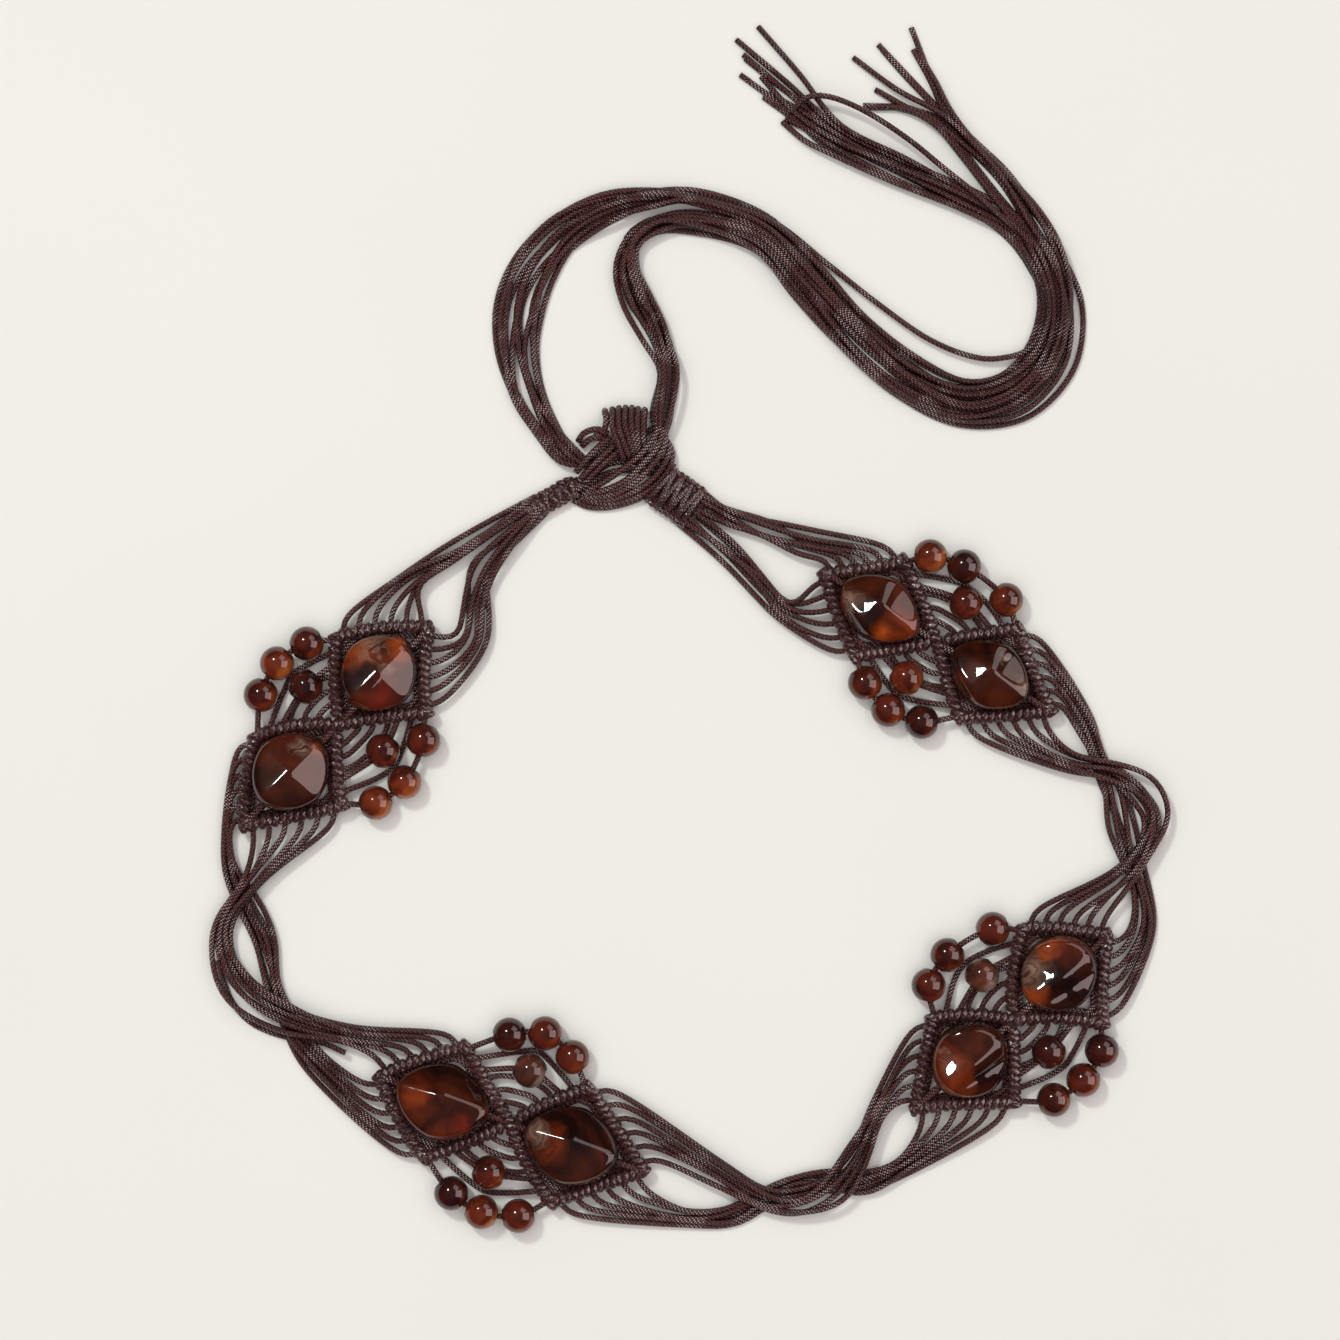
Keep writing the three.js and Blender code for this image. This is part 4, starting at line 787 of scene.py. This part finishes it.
def corner_of(index, name):
    value = CORNERS[index][name]
    if name.endswith("tip"):
        return np.array([value * DIAMOND_LENGTH, 0.0])
    outward = 1 if name.endswith("inner") else -1
    return np.array([value[0] * DIAMOND_LENGTH, value[1] * outward * DIAMOND_WIDTH / 2])


def stone_support(index, end, out):
    """How far a stone reaches from the middle of its diamond's half, towards out."""
    values = STONES[2 * index + (1 if end == "exit" else 0)]
    ahead = heading(MOTIFS[index]["travel"])
    shift = np.array(values["shift"])
    shift = np.array([shift @ ahead, shift @ left_of(ahead)])
    power = values["plan"] / (values["plan"] - 1)
    reach = (np.abs(out * np.array(values["reach"][:2])) ** power).sum() ** (1 / power)
    return reach + shift @ out


def row_curve(start, finish, index, end):
    """A knotted row bows out as far as the stone beside it needs. Gives its place and the way out
    from the stone, each as a function of a share of the row."""
    centre = corner_of(index, f"{end}_tip") / 2
    middle = (start + finish) / 2
    ahead = unit(finish - start)
    out = np.array([ahead[1], -ahead[0]])
    reach = (middle - centre) @ out
    out = out * np.sign(reach)
    bow = max(LEAST_BOW, stone_support(index, end, out) + ROW_WIDTH / 2 - abs(reach))
    control = middle + out * bow * 2

    def at(share):
        return (1 - share) ** 2 * start + 2 * share * (1 - share) * control + share**2 * finish

    def outward(share):
        slope = unit(at(min(share + 0.02, 1)) - at(max(share - 0.02, 0)))
        normal = np.array([slope[1], -slope[0]])
        return normal * np.sign((at(share) - centre) @ normal)

    return at, outward


def edge_row(index, end, side):
    """The outer row of a diamond's end, from its side corner to its tip."""
    return row_curve(corner_of(index, f"{end}_{side}"), corner_of(index, f"{end}_tip"), index, end)


def inner_row(index, end, side):
    """The row from the middle of the motif to a side corner."""
    return row_curve(np.zeros(2), corner_of(index, f"{end}_{side}"), index, end)


def hitch(strands, centre, ahead, slant, reach=WRAP_ROUND, thick=1.13, wide=1.3, tall=1.1):
    """One slanted turn of cord round a holding cord that runs ahead."""
    across = unit(np.cross(UP, ahead))
    up = np.cross(ahead, across)
    angle = np.linspace(*HITCH_ARC, HITCH_POINTS)
    swell = reach * rng.uniform(0.95, 1.07)
    turn = (
        centre
        + swell * wide * np.cos(angle)[:, None] * across
        + swell * tall * np.sin(angle)[:, None] * up
        + slant * np.cos(angle)[:, None] * ahead
        + rng.normal(0, 0.08) * ahead
    )
    strands.tube(turn, thick * CORD_RADIUS * rng.uniform(0.95, 1.04), THICK_SIDES, knotted=True)


def hitches(strands, motif, at, first, last, lift=ROW_LIFT):
    """A row of hitches on its holding cord."""
    line = np.array([motif_spot(motif, at(s), lift) for s in np.linspace(first, last, 41)])
    length = line_length(line)
    count = max(2, int(round(length / HITCH_PITCH)))
    along = lengths_along(line)
    strands.tube(smooth(line, CORE_STEP), ROW_CORE_RADIUS, CORE_SIDES, knotted=True)
    for place in (np.arange(count) + 0.5) / count * length:
        step = points_at(line, along, place + 0.5) - points_at(line, along, place - 0.5)
        hitch(strands, points_at(line, along, place), unit(step), 0.4 + rng.normal(0, 0.1))


def lining(strands, motif, at, outward):
    """The bare cord that runs along a row's inner side, under the edge of the stone."""
    inset = ROW_WIDTH / 2 + LINING_INSET
    line = [motif_spot(motif, at(s) - outward(s) * inset, LINING_LIFT)
            for s in np.linspace(0.1, 0.9, 9)]
    strands.tube(line, LINING_RADIUS)


def corner_knot(strands, motif, corner, outward):
    ahead = to_loop(motif, corner + outward) - to_loop(motif, corner)
    centre = placed(to_loop(motif, corner))
    for k, lift in ((-0.6, 0.2), (0.7, -0.2)):
        hitch(strands, at_height(centre + ahead * k, ROW_LIFT + lift), at_height(ahead, 0),
              0.5, reach=0.95, thick=1.0, wide=1.15)


# ---- cords between the rows ----

def stone_core(strands, motif, index, end):
    tip = corner_of(index, f"{end}_tip")
    line = [motif_spot(motif, tip * share, z) for share, z in zip(CORE_SHARES, CORE_HEIGHTS)]
    strands.tube(smooth(line), CORE_RADIUS)


def leaving(row, share, way=1):
    """A place on a row, and the direction in which a cord leaves it: 1 is away from the stone."""
    at, outward = row
    return at(share), way * outward(share)


def arch(strands, motif, start, finish, bow, lift, stub=2.6):
    """A loose cord from one row to another that leaves each at a right angle."""
    (first, first_out), (last, last_out) = start, finish
    middle = (first + last) / 2 + bow
    line = [first, first + first_out * stub, middle, last + last_out * stub, last]
    heights = [ROW_LIFT - 0.6, lift, lift, lift, ROW_LIFT - 0.6]
    points = [motif_spot(motif, p, z) for p, z in zip(line, heights)]
    strands.tube(relaxed(smooth(points, ARCH_STEP), 5))


def corner_loops(strands, motif, index, end):
    """Short cords that turn back inside a diamond's side corners and its tip."""
    for side in ("inner", "outer"):
        edge, row = edge_row(index, end, side), inner_row(index, end, side)
        for edge_share, row_share in CORNER_LOOPS:
            lift = CORNER_LOOP_LIFT + rng.uniform(-0.4, 0.6)
            arch(strands, motif, leaving(edge, edge_share, -1), leaving(row, row_share, -1),
                 np.zeros(2), lift, CORNER_LOOP_STUB)
    first, second = (leaving(edge_row(index, end, side), TIP_LOOP["share"], -1)
                     for side in ("inner", "outer"))
    arch(strands, motif, first, second, np.zeros(2), TIP_LOOP["lift"], TIP_LOOP["stub"])


def notch_sides(index):
    return FIRST_SIDE[index], OTHER_SIDE[FIRST_SIDE[index]]


def notch_beads(motif, group):
    return [f"{motif['name']}_bead_{4 * group + k}" for k in (1, 2, 3, 4)]


def bridge_notch(strands, motif, index, side, group):
    """The cord on three beads, the one on the fourth, one that weaves between, and three arches."""
    beads = [box_centre(name) for name in notch_beads(motif, group)]
    rows = [inner_row(index, end, side) for end in ("entry", "exit")]

    def bridge(share, drop, middle):
        ends = [motif_spot(motif, at(share), ROW_LIFT - drop) for at, _ in rows]
        strands.tube(smooth([ends[0], *middle, ends[1]], SHORT_STEP))

    bridge(0.97, 0, beads[:3])
    bridge(0.7, 0.5, [beads[3]])
    bridge(0.84, 0.8, [at_height((bead[:2] + beads[3][:2]) / 2, WEAVE_HEIGHT)
                       for bead in beads[:3]])
    outward = 1 if side == "inner" else -1
    for share, bow, lift in BRIDGES:
        arch(strands, motif, *[leaving(row, share) for row in rows],
             np.array([rng.uniform(-0.8, 0.8), outward * bow]), lift)


def build_motif(index):
    motif = MOTIFS[index]
    strands = Strands()
    for end in ("entry", "exit"):
        for side in ("inner", "outer"):
            at, outward = edge_row(index, end, side)
            hitches(strands, motif, at, 0.02, 0.98)
            lining(strands, motif, at, outward)
            at, outward = inner_row(index, end, side)
            lining(strands, motif, at, outward)
            if (end, side) in OVER_ROWS:
                hitches(strands, motif, at, 0.0, 0.97, ROW_LIFT + OVER_LIFT)
            else:
                hitches(strands, motif, at, 0.09, 0.97)
            corner_knot(strands, motif, corner_of(index, f"{end}_{side}"), np.array([0, 1.0]))
        corner_knot(strands, motif, corner_of(index, f"{end}_tip"), np.array([1.0, 0]))
        stone_core(strands, motif, index, end)
        corner_loops(strands, motif, index, end)
    for group, side in enumerate(notch_sides(index)):
        bridge_notch(strands, motif, index, side, group)
    strands.build(f"{motif['name']}_knots", [f"{motif['name']}_frame"])


# ---- beads and stones ----

def ring_face(turns, i, j, next_ring):
    """One face between ring i and the next one."""
    k = (j + 1) % turns
    return i * turns + j, next_ring * turns + j, next_ring * turns + k, i * turns + k


def build_bead(name, look, tangent):
    """A round with a wide hole and softly rounded mouths, along the cord that it is strung on."""
    radius, hole = BEAD_DIAMETER / 2, BEAD_HOLE / 2
    half = math.sqrt(radius**2 - hole**2)
    first = math.asin(hole / radius) * 1.28
    rounds = [(radius * math.sin(angle), -radius * math.cos(angle))
              for angle in np.linspace(first, math.pi - first, 19)]
    mouth = [(hole + 0.42, half - 0.16), (hole + 0.12, half - 0.32), (hole, half - 0.8)]
    profile = [(r, -z) for r, z in mouth[::-1]] + rounds + mouth
    ahead = at_height(tangent, 0)
    side = np.cross(UP, ahead)
    angles = [j / BEAD_TURNS * 2 * math.pi for j in range(BEAD_TURNS)]
    points = np.array([ahead * z + side * r * math.cos(angle) + UP * r * math.sin(angle)
                       for r, z in profile for angle in angles])
    faces = [ring_face(BEAD_TURNS, i, j, (i + 1) % len(profile))
             for i in range(len(profile)) for j in range(BEAD_TURNS)]
    mesh = new_mesh(name, points, faces, BEAD_MATERIALS[look])
    add_piece(name.replace("bead", "round"), mesh, [name], box_centre(name))


def build_beads(index):
    motif = MOTIFS[index]
    for group, side in enumerate(notch_sides(index)):
        names = notch_beads(motif, group)
        centres = [box_centre(n)[:2] for n in names]
        start = placed(to_loop(motif, corner_of(index, f"entry_{side}")))
        finish = placed(to_loop(motif, corner_of(index, f"exit_{side}")))
        line = [start, *centres[:3], finish]
        for k, name in enumerate(names):
            step = line[k + 2] - line[k] if k < 3 else finish - start
            look = BEAD_PATTERN[motif["name"]].split()[4 * group + k]
            build_bead(name, look, unit(step))


def build_stone(stone, motif):
    """A pillow cut by four facets that meet on a crest, then turned about its length."""
    values = {**STONE_KINDS[motif["name"]], **stone}
    centre = box_centre(values["name"]) + at_height(values["shift"], 0)
    travel = heading(motif["travel"])
    ahead, side = at_height(travel, 0), at_height(left_of(travel), 0)
    reach, plan_power = np.array(values["reach"]), values["plan"]
    (cut_front, cut_back), (side_front, side_back) = values["cut"]
    phi = np.arange(STONE_TURNS) / STONE_TURNS * 2 * math.pi
    rings = []
    for polar in np.linspace(STONE_POLE, math.pi - STONE_POLE, STONE_RINGS):
        way = np.stack([np.full(STONE_TURNS, -math.cos(polar)), math.sin(polar) * np.cos(phi),
                        math.sin(polar) * np.sin(phi)], axis=1)
        front = way[:, 0] > 0
        brow = np.where(front, *values["brow"])
        to_front = np.clip(0.5 + 1.6 * way[:, 0], 0, 1)
        slopes = np.stack([
            (np.sqrt(way[:, 0] ** 2 + brow**2) - brow) / np.where(front, cut_front, cut_back),
            (np.sqrt(way[:, 1] ** 2 + CREST_ROUND**2) - CREST_ROUND * 0.5)
            * (to_front / side_front + (1 - to_front) / side_back),
            np.abs(way[:, 2]) / CUT_UP], axis=1)
        facets = slopes.sum(axis=1)
        plan = ((np.abs(way[:, :2]) / reach[:2]) ** plan_power).sum(axis=1) ** (1 / plan_power)
        pillow = (plan**PILLOW + (np.abs(way[:, 2]) / reach[2]) ** PILLOW) ** (1 / PILLOW)
        far = 1 / (facets**CUT_SHARPNESS + pillow**CUT_SHARPNESS) ** (1 / CUT_SHARPNESS)
        u, v, z = (way * far[:, None]).T
        share = u / reach[0]
        z = z + values["tilt"] * u * np.clip(z / 3, 0, 1)
        beside = (-v - GROOVE_PLACE - GROOVE_DRIFT * share) / GROOVE_WIDTH
        fading = np.clip(1.3 - 1.3 * np.abs(share), 0, 1)
        z = z - values["groove"] * np.exp(-beside**2) * np.clip(z / 3, 0, 1) * fading
        roll = np.radians(values["ridge"] + values["twist"] * share)
        turned_v = v * np.cos(roll) - z * np.sin(roll)
        turned_z = v * np.sin(roll) + z * np.cos(roll)
        rings.append(centre + u[:, None] * ahead + turned_v[:, None] * side
                     + turned_z[:, None] * UP)
    faces = [ring_face(STONE_TURNS, i, j, i + 1)
             for i in range(STONE_RINGS - 1) for j in range(STONE_TURNS)]
    faces.append(tuple(range(STONE_TURNS)))
    faces.append(tuple(range((STONE_RINGS - 1) * STONE_TURNS, STONE_RINGS * STONE_TURNS))[::-1])
    points = np.vstack(rings)
    points[:, 2] -= points[:, 2].min()
    mesh = new_mesh(values["name"], points, faces, swirled_resin(values, centre))
    add_piece(values["name"].replace("stone", "gem"), mesh, [values["name"]])


# ---- free strands ----

def exit_points(index, end, side, strand):
    """Where a strand leaves a row: under it, and a little way out."""
    share = (strand + 0.5) / GROUP
    place, out = leaving(edge_row(index, end, side), share)
    return [motif_spot(MOTIFS[index], place + out * reach, ROW_LIFT - drop)
            for reach, drop in ((0.0, 0.8), (3.4, 1.1))]


def face_station(face, width, half_side, depth):
    """A station in one half of a tie: its middle, its height and its half width."""
    ahead = heading(face["travel"])
    aside = left_of(ahead) * half_side * (width / 4 - 0.4)
    return placed(loop_xy(face["x"], face["y"]) + aside + ahead * depth), 0.5, width / 4 + 0.4


def run_line(run, side, index):
    """One strand of a group: from its hitch on a row, along the bundle, to the next row or tie."""
    sign = 1 if side == "inner" else -1
    share = 1 - 2 * index / (GROUP - 1)
    stations = [(placed(loop_xy(x, y)), lift * CORD, half * CORD) for x, y, lift, half in run[side]]
    if run["name"] == "run_start":
        stations.insert(0, face_station(SINNET_FACE, SINNET_WIDTH, -sign, 5))
    if run["name"] == "run_end":
        stations.append(face_station(WRAP_FACE, WRAP_WIDTH, sign, 4))
    slopes = np.gradient(np.array([middle for middle, _, _ in stations]), axis=0)
    phase, rank_phase = rng.uniform(0, 2 * math.pi, 2)
    last = len(stations) - 1
    (sway, sway_pace), (drift, drift_pace) = RUN_WANDER
    points = exit_points(run["from"] - 1, "exit", side, index) if run["from"] else []
    for k, (middle, lift, half) in enumerate(stations):
        spread = max(half - CORD_RADIUS, 1.2)
        gap = 2 * spread / (GROUP - 1)
        nest = math.sqrt(max(CORD**2 - gap**2, 0)) * NEST
        wander = (sway * math.sin(phase + sway_pace * k)
                  + drift * math.sin(rank_phase + drift_pace * k) * math.sin(math.pi * k / last))
        height = CLIMB * lift + CORD_RADIUS + (index % 2) * nest
        aside = left_of(unit(slopes[k])) * (sign * share * spread + wander)
        points.append(at_height(middle + aside, height))
    if run["to"]:
        points += exit_points(run["to"] - 1, "entry", side, index)[::-1]
    return relaxed(smooth(points), 3)


def build_runs():
    for run in RUNS:
        strands = Strands()
        if run["name"] == "run_12":
            dip = [at_height(photo_xy(*xy), z) for xy, z in zip(DIP_PX, DIP_HEIGHTS)]
            strands.tube(smooth(dip))
        for side in ("inner", "outer"):
            for index in range(GROUP):
                strands.tube(run_line(run, side, index))
        strands.build(f"{run['name']}_strands", [run["name"]])


# ---- the ties and the knot ----

def tie_start(face, thickness):
    """The middle of a tie's first end, its direction, and the direction across it."""
    ahead = at_height(heading(face["travel"]), 0)
    start = at_height(placed(loop_xy(face["x"], face["y"])), thickness / 2)
    return start, ahead, np.cross(UP, ahead)


def tie_cores(strands, start, ahead, length, offsets, lead):
    """The cords that run through a tie, which show at its two ends."""
    for offset in offsets:
        base = start + offset
        line = [base - ahead * lead, base + ahead * length / 2, base + ahead * (length + 2)]
        strands.tube(smooth(line), CORE_RADIUS)


def build_wrap():
    strands = Strands()
    start, ahead, across = tie_start(WRAP_FACE, WRAP_THICKNESS)
    for k in range(WRAP_TURNS):
        centre = start + ahead * (k + 0.5) * WRAP_LENGTH / WRAP_TURNS
        slant = rng.normal(0.7, 0.25) * (1 if k % 2 else -1)
        hitch(strands, centre, ahead, slant, reach=1.0, thick=0.95,
              wide=WRAP_WIDTH / 2 - 1.0, tall=WRAP_THICKNESS / 2 - 1.0)
    offsets = [across * offset * (WRAP_WIDTH / 2 - 2.2) - 0.2 * UP
               for offset in np.linspace(-1, 1, 7)]
    tie_cores(strands, start, ahead, WRAP_LENGTH, offsets, 1.5)
    for edge in (-1, 1):
        for k in range(WRAP_EDGE_KNOTS):
            aside = across * edge * (WRAP_WIDTH / 2 - 0.7)
            centre = start + aside + ahead * (k + 0.5) * WRAP_LENGTH / WRAP_EDGE_KNOTS
            hitch(strands, centre + 0.2 * UP, across, 0.3, reach=0.6, thick=0.8)
    strands.build("wrap_turns", ["wrap"])


def build_sinnet():
    """Square knots: a cord crosses from side to side over the core, then back."""
    strands = Strands()
    start, ahead, across = tie_start(SINNET_FACE, SINNET_THICKNESS)
    for k in range(SINNET_KNOTS):
        centre = start + ahead * (k + 0.5) * (SINNET_LENGTH / SINNET_KNOTS)
        hitch(strands, centre, ahead, 0.8 * (1 if k % 2 else -1),
              reach=1.0, thick=0.98, wide=2.3, tall=1.35)
        for edge in (-1, 1):
            knot = centre + across * edge * (SINNET_WIDTH / 2 - 0.9)
            hitch(strands, knot, across, 0.3, reach=0.55, thick=0.85)
    offsets = [across * offset for offset in (-1.1, 0, 1.1)]
    tie_cores(strands, start, ahead, SINNET_LENGTH, offsets, 2)
    strands.build("sinnet_knots", ["sinnet"])


def build_knot():
    strands = Strands()
    for route in KNOT_STRANDS:
        strands.tube(smooth([knot_place(*p) for p in route], SHORT_STEP), TIE_RADIUS, THICK_SIDES)
    strands.build("tie_knot_bands", ["tie_knot"])


# ---- the loose ends ----

def tail_stations(bundle, share, curls):
    """A strand's stations: x, y, half width, its place across, and how many lie side by side."""
    left = bundle == "left"
    halves = TAIL_LEFT if left else TAIL_RIGHT
    tassel = TASSEL_LEFT if left else TASSEL_RIGHT
    main_share = (share + 1) / 2 if left else (share - 1) / 2
    rows = [(*row, share, BUNDLE) for row in halves[:-1]]
    rows += [(*row, main_share, 2 * BUNDLE) for row in TAIL_MAIN]
    return rows if curls else rows + [(*row, share, BUNDLE) for row in tassel]


def tail_line(bundle, index, tip_px):
    """One strand from the knot, through its half of the tail and the joined tail, to its tip."""
    share = (index + 0.5) / GROUP - 1
    curls = bundle == "left" and index == 0
    rows = tail_stations(bundle, share, curls)
    middles = np.array([tail_xy(x, y) for x, y, *_ in rows])
    slopes = np.gradient(middles, axis=0)
    phases = rng.uniform(0, 2 * math.pi, 2)
    (sway, sway_pace), (drift, drift_pace) = TAIL_WANDER
    x, y, z = TAIL_STARTS[bundle]
    points = [knot_place(x, y + share * 1.5, z)]
    for k, (_, _, half, place, count) in enumerate(rows):
        spread = half * CORD - CORD_RADIUS
        gap = 2 * spread / (count - 1)
        layers = max(1, min(LAYERS, math.ceil(0.8 * CORD / gap)))
        dome = 1 - DOME * abs(place) ** 3
        wander = (sway * math.sin(phases[0] + sway_pace * k)
                  + drift * math.sin(phases[1] + drift_pace * k))
        wander += STRAYS.get((bundle, index), {}).get(k, 0.0)
        height = CORD_RADIUS + LAYER_ORDER[index] % layers * LAYER_HEIGHT * dome
        aside = left_of(unit(slopes[k])) * (place * spread + wander)
        points.append(at_height(middles[k] + aside, height))
    if curls:
        points += [at_height(photo_xy(*p), CURL_HEIGHT) for p in CURL_PX]
    tip = photo_xy(*tip_px)
    halfway = (points[-1][:2] + tip) / 2 + rng.normal(0, 0.8, 2)
    points.append(at_height(halfway, 0.5 * (points[-1][2] + CORD_RADIUS)))
    points.append(at_height(tip, CORD_RADIUS))
    line = smooth(points, TAIL_STEP)
    line[:, 2] = np.maximum(line[:, 2], BARE_RADIUS)
    return line


def build_tails():
    for bundle, tips in (("left", TIPS_LEFT_PX), ("right", TIPS_RIGHT_PX)):
        for index, tip in enumerate(tips[::-1]):
            line = tail_line(bundle, index, tip)
            strands = Strands()
            strands.tube(line)
            nodes = TAIL_NODES[bundle] if index == 0 else ()
            piece = strands.build(f"tail_{bundle}_strand_{index + 1}", nodes)


# ---- the floor, the light and the camera ----

def build_floor():
    material, tree, shader = new_material("pale_surface")
    mottle = noise_node(tree, object_place(tree), 6, 2)["Fac"]
    feed(shader, {"Base Color": ramp_node(tree, mottle, PAPER), "Roughness": 0.85,
                  "Specular IOR Level": 0.1})
    h = FLOOR_HALF
    mesh = bpy.data.meshes.new("floor")
    mesh.from_pydata([(-h, -h, 0), (h, -h, 0), (h, h, 0), (-h, h, 0)], [], [(0, 1, 2, 3)])
    mesh.materials.append(material)
    floor = bpy.data.objects.new("floor", mesh)
    bpy.context.scene.collection.objects.link(floor)


def area_light(name, azimuth, tilt, distance, size, energy, colour):
    """A rectangular light that faces the belt, tilt degrees off the vertical."""
    data = bpy.data.lights.new(name, "AREA")
    data.shape = "RECTANGLE"
    data.size, data.size_y = size
    data.energy = energy
    data.color = colour
    light = bpy.data.objects.new(name, data)
    bpy.context.scene.collection.objects.link(light)
    away, lean = math.radians(azimuth), math.radians(tilt)
    flat = distance * math.sin(lean)
    light.location = (flat * math.cos(away), flat * math.sin(away), distance * math.cos(lean))
    light.rotation_euler = (0, lean, away)
    return light


def build_light():
    """The sky is brightest overhead and dim in gloss; the windows show in gloss alone."""
    world = bpy.data.worlds.new("studio")
    bpy.context.scene.world = world
    world.use_nodes = True
    tree = world.node_tree
    tree.nodes.clear()
    output = tree.nodes.new("ShaderNodeOutputWorld")
    background = tree.nodes.new("ShaderNodeBackground")
    glossy = tree.nodes.new("ShaderNodeLightPath").outputs["Is Glossy Ray"]
    strength = math_node(tree, "MULTIPLY_ADD", glossy, SKY_IN_GLOSS, SKY_STRENGTH)
    direction = tree.nodes.new("ShaderNodeTexCoord").outputs["Generated"]
    overhead = ramp_node(tree, split_node(tree, direction)["Z"], OVERHEAD)
    feed(background, {"Color": SKY_COLOUR,
                      "Strength": math_node(tree, "MULTIPLY", strength, overhead)})
    feed(output, {"Surface": background.outputs[0]})
    area_light("key", **KEY)
    for name, window in WINDOWS.items():
        area_light(name, **window).visible_diffuse = False


def build_camera():
    data = bpy.data.cameras.new("camera")
    data.sensor_width = SENSOR
    half = PHOTO_SIZE * PIXEL / 2
    data.lens = SENSOR / 2 / (half / CAMERA_HEIGHT)
    data.clip_end = 20
    camera = bpy.data.objects.new("camera", data)
    bpy.context.scene.collection.objects.link(camera)
    centre = photo_xy(PHOTO_SIZE / 2, PHOTO_SIZE / 2)
    camera.location = (centre[0] / 1000, centre[1] / 1000, CAMERA_HEIGHT / 1000)
    bpy.context.scene.camera = camera


bpy.context.scene.view_settings.view_transform = "Standard"
build_camera()
build_tails()
for motif_index in range(len(MOTIFS)):
    build_motif(motif_index)
    build_beads(motif_index)
for stone_index, stone_values in enumerate(STONES):
    build_stone(stone_values, MOTIFS[stone_index // 2])
build_runs()
build_wrap()
build_sinnet()
build_knot()
build_floor()
build_light()
